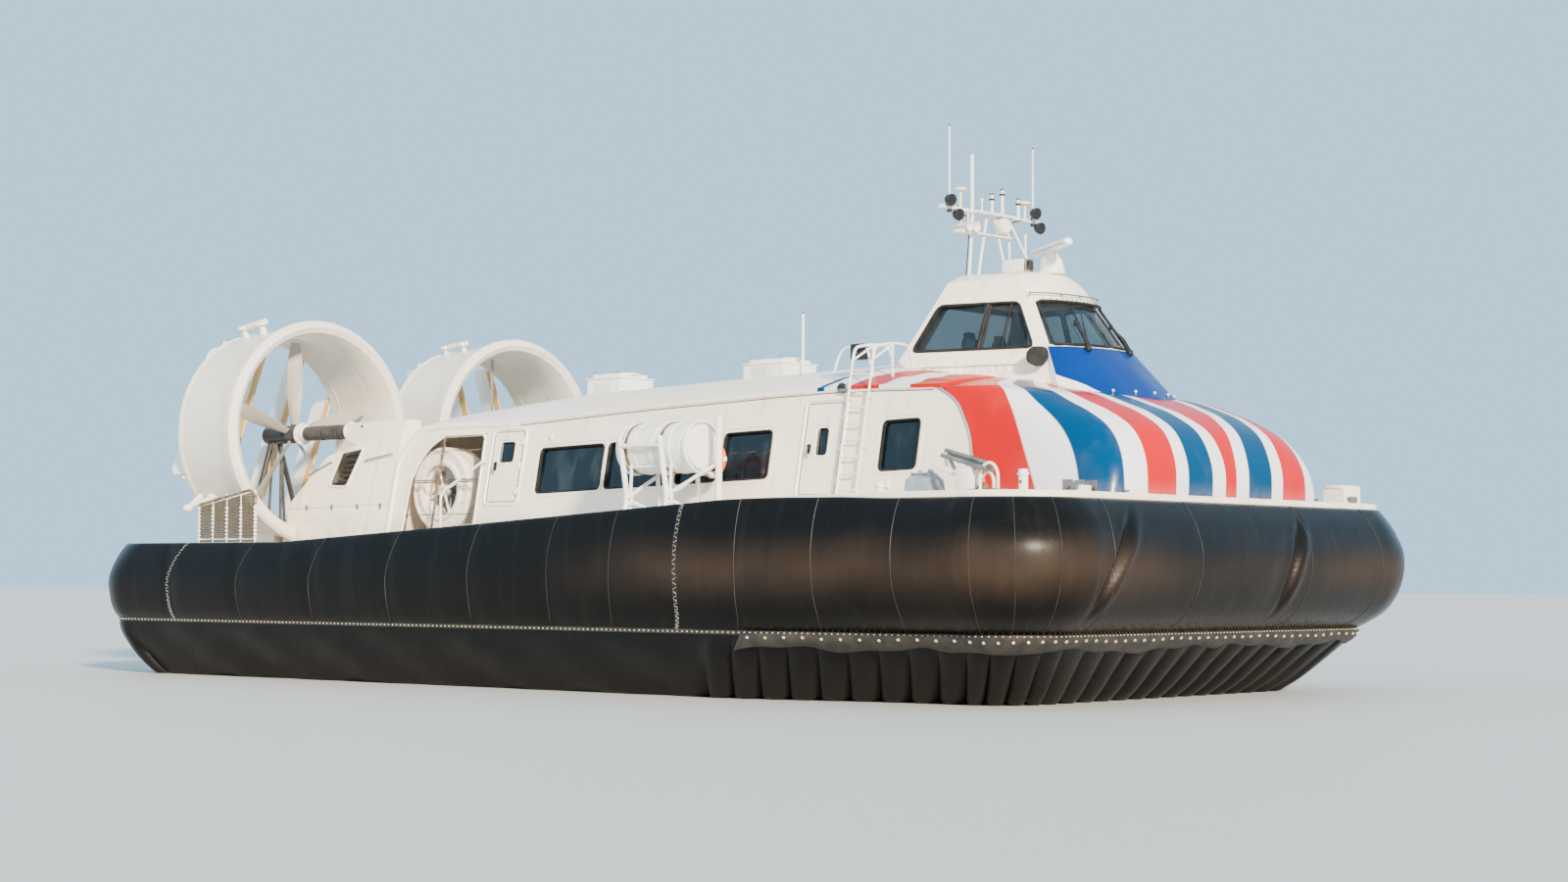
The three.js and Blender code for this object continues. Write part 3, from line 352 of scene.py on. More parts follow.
duct_paint = rotor_finish("duct_shell_paint", (0.82, 0.76, 0.66, 1), (0.74, 0.66, 0.54, 1), 1.93, 0.28)
blade_paint = rotor_finish("blade_paint", (0.38, 0.35, 0.30, 1), (0.27, 0.25, 0.21, 1), 0.21, 0.4)
rudder_paint = rudder_finish()


# %% Plain and metal finishes
def mottled(name, colour, other, scale, roughness, metallic=0.0, grain=0.1, **fixed):
    """One colour with soft patches of another, and a fine grain."""
    look = Finish(name, roughness, metallic, **fixed)
    patches = look.patches(scale, low=0.3)
    fine = look.noise(scale * 12, 3)
    return look.wear(
        Base_Color=look.mix(patches * 0.8, colour, other),
        Roughness=roughness - 0.08 + fine * 0.16,
        Normal=look.bump(fine, grain, 0.004),
    )


hull_grey = mottled("hull_grey", (0.30, 0.31, 0.31, 1), (0.20, 0.20, 0.19, 1), 1.2, 0.7)
bare_metal = mottled("engine_metal", (0.33, 0.33, 0.32, 1), (0.18, 0.17, 0.15, 1), 5, 0.42, 0.8)
black_metal = mottled("dark_metal", (0.045, 0.043, 0.04, 1), (0.09, 0.085, 0.075, 1), 6, 0.42, 0.2)
black_rubber = mottled(
    "black_rubber", (0.010, 0.010, 0.010, 1), (0.028, 0.026, 0.024, 1), 6, 0.6, Specular_IOR_Level=0.15
)
brass = mottled("bolt_heads", (0.55, 0.42, 0.20, 1), (0.75, 0.66, 0.48, 1), 30, 0.4, 0.3)
orange = mottled("lifebuoy_orange", (0.85, 0.11, 0.01, 1), (0.7, 0.09, 0.01, 1), 8, 0.5)
lamp_black = mottled(
    "lamp_black", (0.012, 0.012, 0.014, 1), (0.026, 0.026, 0.028, 1), 20, 0.4, Specular_IOR_Level=0.2
)
navy = mottled("panel_trim", (0.10, 0.12, 0.15, 1), (0.14, 0.16, 0.19, 1), 9, 0.5)
beige = mottled("lining_beige", (0.55, 0.48, 0.38, 1), (0.48, 0.41, 0.32, 1), 5, 0.6)
mirror_glass = mottled("mirror_glass", (0.05, 0.06, 0.07, 1), (0.08, 0.09, 0.1, 1), 3, 0.08, 0.9)
weathered = mottled("weathered_tube", (0.06, 0.035, 0.018, 1), (0.34, 0.25, 0.15, 1), 9, 0.6, 0.2)
gear_grey = mottled("gear_cover", (0.27, 0.32, 0.35, 1), (0.20, 0.24, 0.27, 1), 5, 0.7)
gear_blue = mottled("gear_blue", (0.02, 0.14, 0.36, 1), (0.05, 0.17, 0.33, 1), 6, 0.5)
fence_wire = mottled("fence_wire", (0.045, 0.036, 0.018, 1), (0.075, 0.058, 0.030, 1), 9, 0.55)
headrest_cover = mottled("headrest_cover", (0.62, 0.57, 0.48, 1), (0.50, 0.45, 0.37, 1), 12, 0.85, 0.0, 0.3)
lamp_glass = mottled("lamp_glass", (0.75, 0.73, 0.66, 1), (0.6, 0.6, 0.55, 1), 12, 0.1)


# %% [markdown]
# ## Livery
# Broad red, white and blue bands fan out from the foot of the wheelhouse over the bow dome and the
# front of the roof. They are rays bent by one slow wave, so the shader needs a single angle and a
# few steps along it.


# %% Bow bands
BAND_RED = (0.50, 0.0015, 0.003, 1)
BAND_BLUE = (0.0005, 0.042, 0.125, 1)
BAND_WHITE = (0.78, 0.79, 0.80, 1)
BAND_EDGES = (
    # start, end, colour, as angles round the foot of the wheelhouse
    (-0.20, 0.10, BAND_RED),
    (0.19, 0.36, BAND_BLUE),
    (0.44, 0.60, BAND_RED),
    (0.69, 0.82, BAND_BLUE),
    (0.91, 1.42, BAND_RED),
    (1.64, 1.84, BAND_RED),
    (2.02, 2.07, BAND_BLUE),
)
BAND_CENTRE = 6.9
BANDS_END = BAND_EDGES[-1][1]


def bands(look, ground):
    """The colour of the bands at each place, and how far round it is."""
    wide = look.aside()
    ahead_of = look.axes()[0] - BAND_CENTRE
    round_by = look.node("Math", {0: wide, 1: ahead_of}, operation="ARCTAN2")
    reach = (ahead_of * ahead_of + wide * wide) ** 0.5
    wave = look.node("Math", {0: reach * 1.35 + 0.9}, operation="SINE")
    run = round_by + wave * 0.10
    colour = ground
    for start, end, tint in BAND_EDGES:
        mask = look.step(run, start, start + EDGE_BLUR) - look.step(run, end, end + EDGE_BLUR)
        colour = look.mix(mask, colour, tint)
    return colour, run


def band_finish(name, ground):
    look = Finish(name, 0.3, Coat_Weight=0.06, Coat_Roughness=0.06, Specular_IOR_Level=0.12)
    salt = look.step(look.noise(1.6, 6, (1, 1, 0.6)), 0.5, 0.8)
    foot = look.step(look.axes()[2], 3.62, 3.3) * 0.35
    soiling = salt * 0.04 + foot * look.noise(7, 4) * 0.6
    return look.wear(
        Base_Color=look.mix(soiling, bands(look, ground)[0], (0.5, 0.47, 0.42, 1)),
        Roughness=0.26 + salt * 0.2,
        Normal=look.bump(look.noise(0.8, 2), 0.3, 0.03),
    )


dome_bands = band_finish("bow_bands", BAND_WHITE)


# %% Roof paint
def roof_finish():
    """Cream paint that the bands run out onto beside the wheelhouse."""
    look = Finish("roof_paint", 0.4, Coat_Weight=0.03, Coat_Roughness=0.12, Specular_IOR_Level=0.12)
    colour, run = bands(look, BAND_WHITE)
    patches = look.patches()
    runs = look.runs((0.4, 5, 5))
    cream_top = look.mix(patches, CREAM, WHITE)
    body = look.mix(look.step(run, BANDS_END, BANDS_END + 0.005), colour, cream_top)
    return look.wear(
        Base_Color=look.mix(runs * 0.22, body, GRIME),
        Roughness=0.32 + patches * 0.1,
        Normal=look.bump(look.noise(0.9, 2), 0.25, 0.02),
    )


roof_paint = roof_finish()


# %% Windscreen apron
def apron_finish():
    look = Finish("apron_blue", 0.3, Coat_Weight=0.08, Coat_Roughness=0.06, Specular_IOR_Level=0.12)
    height = look.axes()[2]
    # the blue stops in a line that rises towards the sides, inside a white border
    edge = height - 4.98 - (look.aside() ** 6.0) * 0.066
    corner = look.axes()[0] - 8.56 - (5.925 - height) * 0.5535
    fade = look.patches(1.5, 5, 0.4, 0.75)
    blue = look.mix(fade * 0.3, (0.0005, 0.026, 0.17, 1), (0.001, 0.036, 0.21, 1))
    inside = look.step(edge, 0, 0.012) * look.step(corner, 0, 0.012)
    return look.wear(
        Base_Color=look.mix(inside, WHITE, blue),
        Roughness=0.28 + fade * 0.12,
        Normal=look.bump(look.noise(1.1, 2), 0.2, 0.02),
    )


apron_blue = apron_finish()


# %% [markdown]
# ## Glass
# The windows are dark tinted panes that mirror the sky. The wheelhouse glass is clearer, because
# the crew must see through it, so it gets more transparency from the alpha socket.


# %% Glass
def pane(name, tint, clearness):
    look = Finish(name, 0.05, Coat_Weight=0.25, Coat_Roughness=0.02, Specular_IOR_Level=0.3)
    smears = look.step(look.noise(3, 5, (1, 1, 0.4)), 0.45, 0.75)
    return look.wear(
        Base_Color=look.mix(smears * 0.3, tint, (0.06, 0.075, 0.085, 1)),
        Roughness=0.04 + smears * 0.08,
        Alpha=1 - clearness + smears * 0.06,
    )


cabin_glass = pane("cabin_glass", (0.004, 0.009, 0.014, 1), 0.13)
wheelhouse_glass = pane("wheelhouse_glass", (0.012, 0.022, 0.028, 1), 0.60)

# %% [markdown]
# ## Skirt rubber
# The bag is black coated fabric. Dust and dried salt turn the bulge brown, and part of that
# brown band is a painted sun sheen and painted reflection, strongest at the bow corners. Rain washes
# it in streaks, and scuffs break up the shine. The fingers below are the same cloth, with a faint
# veil of salt towards the hem.


# %% Rubber
def rubber(name, base, dust_and_sheen_tint, levels, forward, amount, sheen):
    """Black cloth with a band of dust and painted sun sheen between two heights, ahead of one place."""
    look = Finish(name, 0.45, Specular_IOR_Level=0.14)
    height = look.axes()[2]
    low, high = levels
    clouds = look.step(look.noise(0.35, 4, (1, 1, 1.6)), 0.25, 0.75)
    streaks = look.noise(1, 5, (4, 4, 0.35))
    rub = look.step(look.noise(9, 6), 0.52, 0.72)
    uneven = height + look.noise(0.8, 4, (1, 1, 0.4)) * 0.5 - 0.25
    belt = look.step(uneven, low, low + 0.8) * look.step(uneven, high + 0.6, high - 0.2)
    bow_corner = look.step(look.aside(), 1.2, 4.2)
    here = look.step(look.axes()[0], forward, forward + 4.5) * (0.3 + bow_corner * 0.7)
    # the band is part real dust and part a painted sun sheen and reflection, strongest at the bow corners
    dust_and_sheen = belt * here * (0.35 + clouds * 0.4 + streaks * 0.35) * amount
    flecks = look.step(look.noise(55, 2), 0.73, 0.77) * 0.3
    shade = look.mix(look.step(streaks, 0.5, 0.8) * 0.3, base, (0.014, 0.013, 0.012, 1))
    colour = look.mix(dust_and_sheen, shade, dust_and_sheen_tint)
    colour = look.mix(flecks * rub, colour, (0.32, 0.30, 0.27, 1))
    folds = look.noise(2.2, 4, (1, 1, 0.5)) * 0.6 + look.noise(90, 2) * 0.012 + rub * 0.015
    return look.wear(
        Base_Color=colour,
        Roughness=sheen + dust_and_sheen * 0.5 + rub * 0.1,
        Normal=look.bump(folds, 0.3, 0.03),
    )


BAG_BLACK = (0.0032, 0.0026, 0.0022, 1)
# brown of real dust and of a painted sun sheen on the bag's bulge
BAG_DUST_AND_SHEEN = (0.075, 0.046, 0.028, 1)
FINGER_BLACK = (0.004, 0.004, 0.0045, 1)
FINGER_DUST = (0.014, 0.012, 0.010, 1)
bag_rubber = rubber("bag_rubber", BAG_BLACK, BAG_DUST_AND_SHEEN, (1.45, 2.25), 1.0, 0.55, 0.27)
finger_rubber = rubber("finger_rubber", FINGER_BLACK, FINGER_DUST, (-0.9, 0.3), -30, 0.6, 0.32)
seam_rubber = mottled("seam_rubber", (0.010, 0.009, 0.008, 1), (0.036, 0.029, 0.022, 1), 5, 0.55)
seam_thread = mottled("seam_lacing", (0.42, 0.41, 0.38, 1), (0.20, 0.18, 0.15, 1), 14, 0.6)


# %% Seat cloth
def seat_finish():
    look = Finish("seat_fabric", 0.85, Sheen_Weight=0.3)
    weave = look.noise(420, 2, (1, 1, 0.25)) + look.noise(420, 2, (0.25, 1, 1))
    fade = look.patches(4, 3)
    return look.wear(
        Base_Color=look.mix(fade * 0.6, (0.018, 0.045, 0.12, 1), (0.035, 0.07, 0.16, 1)),
        Roughness=0.8 + fade * 0.1,
        Normal=look.bump(weave, 0.4, 0.001),
    )


seat_cloth = seat_finish()

# %% [markdown]
# ## Dressing the CAD nodes
# The CAD meshes are loose triangles. Welding and splitting them by angle in modifiers rounds the
# curved shells and keeps the folded edges crisp, without moving a corner of the mesh.

# %% Finishes for the nodes
NODE_FINISH = {
    "hull": hull_grey,
    "deck": deck_coat,
    "landing_skid": black_rubber,
    "side_glazing": cabin_glass,
    "forward_glazing": cabin_glass,
    "wheelhouse_glazing": wheelhouse_glass,
    "wheelhouse_apron": apron_blue,
    "engine_block": bare_metal,
    "duct": duct_paint,
    "propeller": blade_paint,
    "cabin_roof": roof_paint,
    "lift_fan": bare_metal,
    "rudder": rudder_paint,
    "mast": warm_white,
    "radar_scanner": white,
    "roof_unit": white,
    "ladder": white,
    "life_raft": white,
    "bow_roller": bare_metal,
}
FOLD_ANGLE = math.radians(32)
WELD_DISTANCE = 0.0002
for name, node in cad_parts.items():
    chosen = [key for key in NODE_FINISH if name.startswith(key)]
    finish = NODE_FINISH[max(chosen, key=len)] if chosen else cream
    for slot in node.material_slots:
        slot.material = finish
    node.data.polygons.foreach_set("use_smooth", [True] * len(node.data.polygons))
    weld = node.modifiers.new("weld", "WELD")
    weld.merge_threshold = WELD_DISTANCE
    split = node.modifiers.new("fold", "EDGE_SPLIT")
    split.split_angle = FOLD_ANGLE
print("dressed", len(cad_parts), "nodes")

# %% [markdown]
# ## Shapes
# Each new piece is one mesh that collects simple forms: rounded blocks, bars, turned profiles,
# bent pipes and lofts. A small class keeps the mesh and its finishes, and puts the piece on the
# body that carries it when it is done.


# %% The piece maker
def facing(axis):
    return Vector(axis).to_track_quat("Z", "Y").to_matrix().to_4x4()


class Piece:
    """The forms of one piece, in one mesh, with a finish for each of them."""

    def __init__(self, name, slot, *finishes, body="craft"):
        self.name = name
        self.slot = slot
        self.body = body
        self.finishes = finishes
        self.mesh = bmesh.new()

    def tinted(self, finish):
        """Gives the new faces, whose index is still nothing, the number of their finish."""
        number = self.finishes.index(finish) + 1 if finish else 1
        for face in self.mesh.faces:
            if not face.material_index:
                face.material_index = number
        return self

    def block(self, low, high, rounding=0.01, finish=None, turn=None, about=(0, 0, 0)):
        """A box between two corners, which may be counted from a point."""
        low = Vector(about) + Vector(low)
        high = Vector(about) + Vector(high)
        size = Matrix.Diagonal((*(high - low), 1))
        place = Matrix.Translation((low + high) / 2) @ (turn or Matrix()) @ size
        made = bmesh.ops.create_cube(self.mesh, size=1, matrix=place)
        if rounding:
            edges = list({edge for vert in made["verts"] for edge in vert.link_edges})
            bmesh.ops.bevel(
                self.mesh, geom=edges, offset=rounding, segments=2, affect="EDGES",
                profile=0.5, material=-1,
            )
        return self.tinted(finish)

    def bar(self, start, end, radius, tip=None, sides=10, finish=None):
        """A straight round bar, which may have another radius at its end."""
        start = Vector(start)
        end = Vector(end)
        place = Matrix.Translation((start + end) / 2) @ facing(end - start)
        bmesh.ops.create_cone(
            self.mesh, cap_ends=True, segments=sides, radius1=radius,
            radius2=radius if tip is None else tip, depth=(end - start).length, matrix=place,
        )
        return self.tinted(finish)

    def post(self, x, y, low, high, radius, tip=None, sides=10, finish=None):
        """An upright bar."""
        return self.bar((x, y, low), (x, y, high), radius, tip, sides, finish)

    def ball(self, centre, radius, stretch=(1, 1, 1), sides=14, finish=None):
        place = Matrix.Translation(centre) @ Matrix.Diagonal((*stretch, 1))
        bmesh.ops.create_uvsphere(
            self.mesh, u_segments=sides, v_segments=sides // 2 + 1, radius=radius, matrix=place
        )
        return self.tinted(finish)

    def turned(self, profile, centre, axis, steps=32, finish=None):
        """Spins a profile of radius and distance along the axis."""
        place = Matrix.Translation(centre) @ facing(axis)
        verts = [self.mesh.verts.new(place @ Vector((r, 0, t))) for r, t in profile]
        edges = [self.mesh.edges.new(pair) for pair in zip(verts, verts[1:])]
        bmesh.ops.spin(
            self.mesh, geom=verts + edges, cent=Vector(centre), axis=Vector(axis).normalized(),
            angle=math.tau, steps=steps, use_merge=True, use_duplicate=False,
        )
        return self.tinted(finish)

    def pipe(self, points, radius, closed=False, corner=0.0, sides=8, finish=None):
        """A tube along a path, with its corners bent where a radius is given."""
        path = rounded(points, corner, closed) if corner else [Vector(p) for p in points]
        curve = bpy.data.curves.new("path", "CURVE")
        curve.dimensions = "3D"
        curve.bevel_depth = radius
        curve.bevel_resolution = max(0, sides // 2 - 2)
        curve.use_fill_caps = not closed
        spline = curve.splines.new("POLY")
        spline.points.add(len(path) - 1)
        spline.points.foreach_set("co", [c for p in path for c in (*p, 1)])
        spline.use_cyclic_u = closed
        carrier = bpy.data.objects.new("path", curve)
        made = bpy.data.meshes.new_from_object(carrier)
        self.mesh.from_mesh(made)
        bpy.data.objects.remove(carrier)
        bpy.data.curves.remove(curve)
        bpy.data.meshes.remove(made)
        return self.tinted(finish)

    def loft(self, loops, closed=False, open_ends=False, finish=None):
        """Bridges outlines of equal count one after another, and caps the two ends."""
        outlines = [[self.mesh.verts.new(point) for point in points] for points in loops]
        rings = []
        for verts in outlines:
            pairs = list(zip(verts, verts[1:]))
            if not open_ends:
                pairs.append((verts[-1], verts[0]))
            rings.append([self.mesh.edges.new(pair) for pair in pairs])
        following = rings[1:] + rings[:1] if closed else rings[1:]
        for ring, after in zip(rings, following):
            bmesh.ops.bridge_loops(self.mesh, edges=ring + after)
        if not closed and not open_ends:
            for verts in (outlines[0], outlines[-1]):
                self.mesh.faces.new(verts)
        return self.tinted(finish)

    def plate(self, points, rise, rim=0.0, finish=None):
        """A flat plate on an outline, or only its rim where a width is given."""
        face = self.mesh.faces.new([self.mesh.verts.new(point) for point in points])
        parts = [face]
        if rim:
            made = bmesh.ops.inset_region(
                self.mesh, faces=parts, thickness=rim, use_even_offset=True, use_boundary=True
            )
            bmesh.ops.delete(self.mesh, geom=parts, context="FACES_ONLY")
            parts = made["faces"]
        grown = bmesh.ops.extrude_face_region(self.mesh, geom=parts)["geom"]
        verts = [item for item in grown if isinstance(item, bmesh.types.BMVert)]
        bmesh.ops.translate(self.mesh, vec=Vector(rise), verts=verts)
        return self.tinted(finish)

    def mirrored(self):
        """Adds the same forms on the port side."""
        forms = self.mesh.verts[:] + self.mesh.edges[:] + self.mesh.faces[:]
        copy = bmesh.ops.duplicate(self.mesh, geom=forms)["geom"]
        verts = [item for item in copy if isinstance(item, bmesh.types.BMVert)]
        faces = [item for item in copy if isinstance(item, bmesh.types.BMFace)]
        bmesh.ops.scale(self.mesh, vec=(1, -1, 1), verts=verts)
        bmesh.ops.reverse_faces(self.mesh, faces=faces)
        return self

    def done(self, crease=40):
        """Makes the object, with its edges sharp from the crease angle on."""
        bmesh.ops.remove_doubles(self.mesh, verts=self.mesh.verts, dist=0.00002)
        bmesh.ops.recalc_face_normals(self.mesh, faces=self.mesh.faces)
        for face in self.mesh.faces:
            face.material_index = max(0, face.material_index - 1)
        data = bpy.data.meshes.new(self.name)
        self.mesh.to_mesh(data)
        self.mesh.free()
        data.polygons.foreach_set("use_smooth", [True] * len(data.polygons))
        data.set_sharp_from_angle(angle=math.radians(crease))
        for finish in self.finishes:
            data.materials.append(finish)
        piece = bpy.data.objects.new(self.name, data)
        bpy.context.scene.collection.objects.link(piece)
        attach(piece, self.body)
        print(self.name, len(data.polygons), "faces")
        return piece


def rounded(points, radius, closed=False, steps=5):
    """The same path with its corners turned into arcs."""
    points = [Vector(p) for p in points]
    path = []
    for i, point in enumerate(points):
        if not closed and i in (0, len(points) - 1):
            path.append(point)
            continue
        before = points[i - 1] - point
        after = points[(i + 1) % len(points)] - point
        reach = min(radius, before.length / 2.1, after.length / 2.1)
        start = point + before.normalized() * reach
        end = point + after.normalized() * reach
        for k in range(steps + 1):
            t = k / steps
            path.append(start * (1 - t) ** 2 + point * 2 * t * (1 - t) + end * t**2)
    return path


def circle(centre, radius, count, across, onward):
    """Points evenly round a centre, in the plane of two directions."""
    angles = [math.tau * k / count for k in range(count)]
    return [centre + (across * math.cos(a) + onward * math.sin(a)) * radius for a in angles]


def rib(foot, crest, half, slope=0.0):
    """The closed profile of a band, from the radius of its foot to that of its crest."""
    edge = half + slope
    return ((foot, -edge), (crest, -half), (crest, half), (foot, edge), (foot, -edge))


# %% [markdown]
# ## The craft's own lines
# Fittings sit on the deck, which falls towards the stern, on the cabin side, which leans inwards,
# and on the domed roof. Helpers give points on all three, so no fitting floats or sinks.

# %% Deck and wall
DECK_LINE = ((-30, 2.6), (-5.8, 2.6), (0, 2.9), (5.5, 3.21), (8, 3.3), (30, 3.3))
WALL_LEAN = 0.194
WALL_FOOT = (3.48, 2.85)
LEAN = math.atan(WALL_LEAN)


def between(line, x):
    for (x0, z0), (x1, z1) in zip(line, line[1:]):
        if x <= x1:
            return z0 + (z1 - z0) * (x - x0) / (x1 - x0)
    return line[-1][1]


def deck(x):
    return between(DECK_LINE, x)


def wall(x, z, out=0.0, side=STARBOARD):
    y = WALL_FOOT[0] - WALL_LEAN * (z - WALL_FOOT[1]) + out * math.cos(LEAN)
    return Vector((x, side * y, z + out * math.sin(LEAN)))


def laid(points, out=0.0, side=STARBOARD):
    """Places on the wall, each given along the craft and in height."""
    return [wall(x, z, out, side) for x, z in points]


ROOF_LINE = (
    # along the craft, height of the gutter, height of the crown
    (-5.80, 4.25, 5.25),
    (-5.55, 4.64, 5.28),
    (-5.20, 4.88, 5.33),
    (-4.70, 4.96, 5.38),
    (-2.40, 4.92, 5.64),
    (1.00, 5.08, 5.74),
    (4.23, 5.19, 5.81),
    (5.74, 5.22, 5.85),
    (7.70, 5.17, 5.48),
)
ROOF_POWER = 2.4


def roof_height(x, y):
    gutter = between([row[:2] for row in ROOF_LINE], x)
    crown = between([(row[0], row[2]) for row in ROOF_LINE], x)
    reach = -wall(x, gutter, 0.03)[1]
    return gutter + (crown - gutter) * (1 - min(1, abs(y / reach)) ** ROOF_POWER)


print("deck at the doors", round(deck(5), 2), "m up, wall", round(-wall(5, 4)[1], 2), "m out")

# %% [markdown]
# ## The skirt's plan
# Seen from above, the skirt is a long rounded rectangle. Every level of it is the same outline
# with its own insets and corner radii, so one function of a place along the outline and a level
# gives any point on bag, seam or finger.

# %% Plan outline
HALF_LENGTH = 11.93
HALF_BEAM = 6.23


def smoothstep(x, low, high):
    t = min(1, max(0, (x - low) / (high - low)))
    return t * t * (3 - 2 * t)


def outline(level, segment, t):
    """A point of one level, with its outward direction, on the starboard half."""
    side, bow, bow_radius, stern, stern_radius = level[:5]
    front, rear = HALF_LENGTH - bow, stern - HALF_LENGTH
    flank, nose = HALF_BEAM - side, HALF_BEAM - bow
    arcs = {
        "quarter": (rear + stern_radius, stern_radius - flank, stern_radius, 180),
        "corner": (front - bow_radius, bow_radius - nose, bow_radius, 270),
    }
    if segment in arcs:
        x, y, radius, start = arcs[segment]
        angle = math.radians(start + 90 * t)
        out = Vector((math.cos(angle), math.sin(angle)))
        return Vector((x, y)) + out * radius, out
    if segment == "stern":
        return Vector((rear, -(flank - stern_radius) * t)), Vector((-1, 0))
    if segment == "front":
        return Vector((front, -(nose - bow_radius) * (1 - t))), Vector((1, 0))
    start = rear + stern_radius
    x = start + (front - bow_radius - start) * t
    y = flank + (nose - flank) * smoothstep(t, 0.75, 1)
    return Vector((x, -y)), Vector((0, -1))


def marks(counts):
    """Places along the half outline, from the middle of the stern to that of the bow."""
    places = [
        (segment, k / count)
        for segment, count in zip(("stern", "quarter", "side", "corner", "front"), counts)
        for k in range(count)
    ]
    return places + [("front", 1.0)]


def all_round(places, section):
    """Sections at each place and at its mirror image, in one closed round."""
    starboard = [section(segment, t, STARBOARD) for segment, t in places]
    port = [section(segment, t, PORT) for segment, t in places[-2:0:-1]]
    return starboard + port


# %% [markdown]
# ## The bag
# The bag is a tube of coated cloth blown up around the hull, joined from panels. Its section comes
# from a few levels joined by a smooth curve. The cloth is drawn in at its seams and puckers at its
# two fixed edges, and at the bow the spare cloth folds into two deep creases. A loft of many
# sections carries all that as real shape.

# %% Bag levels
BAG_LEVELS = (
    # side, bow, bow radius, stern, stern radius, share of height at side and bow, lift
    (0.222, 0.432, 1.358, 0.222, 1.608, 1.0, 1.0, -0.062),
    (0.120, 0.350, 1.460, 0.150, 1.600, 1.0, 0.93, 0.030),
    (0.028, 0.160, 1.600, 0.060, 1.350, 0.8, 0.81, 0.0),
    (0.000, 0.000, 1.700, 0.000, 1.150, 0.54, 0.6, 0.0),
    (0.035, 0.060, 1.640, 0.035, 1.110, 0.27, 0.35, 0.0),
    (0.120, 0.330, 1.400, 0.120, 1.020, 0.1, 0.14, 0.0),
    (0.235, 0.780, 1.100, 0.235, 0.900, 0.0, 0.0, 0.0),
)
CHAIN = 1.13
HULL_LEVEL = (1.25, 1.45, 0.50, 1.25, 0.30)
TUCK_LEVEL = (0.25, 0.46, 1.33, 0.25, 1.58)
HULL_FOOT = 1.65
DECK_RIM = 0.145
SIDE_SEAMS = (-9.2, -7.0, -4.8, -2.6, -0.4, 1.6, 3.1, 4.62, 5.94, 7.56, 9.15)
CREASES = (
    # distance across the bow, lean, depth
    (-3.95, 0.62, 0.10),
    (1.30, 0.42, 0.08),
)


def level_at(levels, share):
    """A level between the listed ones, on a smooth curve through them."""
    place = share * (len(levels) - 1)
    i = min(int(place), len(levels) - 2)
    t = place - i
    rows = [levels[min(max(i + k, 0), len(levels) - 1)] for k in (-1, 0, 1, 2)]
    weights = (
        -0.5 * t + t**2 - 0.5 * t**3,
        1 - 2.5 * t**2 + 1.5 * t**3,
        0.5 * t + 2 * t**2 - 1.5 * t**3,
        -0.5 * t**2 + 0.5 * t**3,
    )
    return [sum(w * row[k] for w, row in zip(weights, rows)) for k in range(len(levels[0]))]


def hump(away, width, power=2):
    """One at a place, and falling to nothing beyond a width from it."""
    return math.exp(-((away / width) ** power))


def bag_point(segment, t, side, share, proud=0.0):
    level = level_at(BAG_LEVELS, share)
    (x, y), out = outline(level, segment, t)
    y *= -side
    bowness = smoothstep(x, 5.5, 10)
    rise = level[5] + (level[6] - level[5]) * bowness
    z = CHAIN + rise * (deck(x) - CHAIN) + level[7]
    # full in the middle of the section, nothing at its two fixed edges
    free = math.sin(math.pi * share) ** 0.8
    push = 0.0
    if segment == "side":
        near = min(abs(x - seam) for seam in SIDE_SEAMS)
        push += 0.018 * (smoothstep(near, 0, 0.35) - 1)
        push += 0.008 * math.sin(1.7 * x + side) * math.sin(2.3 * z + 0.6 * x)
        pucker = hump(share - 0.09, 0.07) + hump(share - 0.94, 0.05)
        pucker *= 0.4 + 0.6 * math.exp(-near / 0.4)
        push += 0.016 * pucker * math.sin(6.5 * x + 2 * math.sin(1.9 * x))
    if segment == "front":
        for across, lean, depth in CREASES:
            line = y - across - lean * (z - 2.3) + 0.10 * math.sin(2.6 * (z - 1.6))
            fold = hump(line, 0.085)
            lip = hump(line - 0.20, 0.12)
            slack = hump(line + 0.30, 0.28)
            reach = hump(z - 2.2, 0.70, 4)
            push -= reach * depth * (fold - 0.45 * lip + 0.30 * slack)
    push = push * free + proud
    return Vector((x + out[0] * push, y - side * out[1] * push, z))


# %% Bag surface
BAG_ROWS = 36


def bag_section(segment, t, side):
    shell = [bag_point(segment, t, side, k / BAG_ROWS) for k in range(BAG_ROWS + 1)]
    x, y = outline(HULL_LEVEL, segment, t)[0]
    y *= -side
    tuck = outline(TUCK_LEVEL, segment, t)[0]
    tuck_top = deck(shell[0][0]) - DECK_RIM
    back = [(x, y, HULL_FOOT), (x, y, deck(x) - DECK_RIM), (tuck[0], -side * tuck[1], tuck_top)]
    return shell + [Vector(point) for point in back]


bag = Piece("skirt_bag_cloth", "skirt_rubber", bag_rubber)
bag.loft(all_round(marks((10, 16, 150, 40, 250)), bag_section), closed=True)
bag_cloth = bag.done(crease=50)
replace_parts(bag_cloth, "skirt_bag")

# %% [markdown]
# ## Seams on the bag
# Two of the seams are laced with pale cord, which shows as rows of stitches. The rest are taped,
# and show as thin welts. Both follow the bag's own section, a few millimetres proud of it.

# %% Seams
WELT = 0.0065
STITCHES = 40
STITCH_REACH = 0.035
SEAM_SHARES = [0.05 + 0.93 * k / 30 for k in range(31)]
LACED = (-9.2, 4.62)


def side_share(x):
    """The share of the straight flank at a distance along the craft."""
    level = level_at(BAG_LEVELS, 0.5)
    start = level[3] - HALF_LENGTH + level[4]
    end = HALF_LENGTH - level[1] - level[2]
    return (x - start) / (end - start)


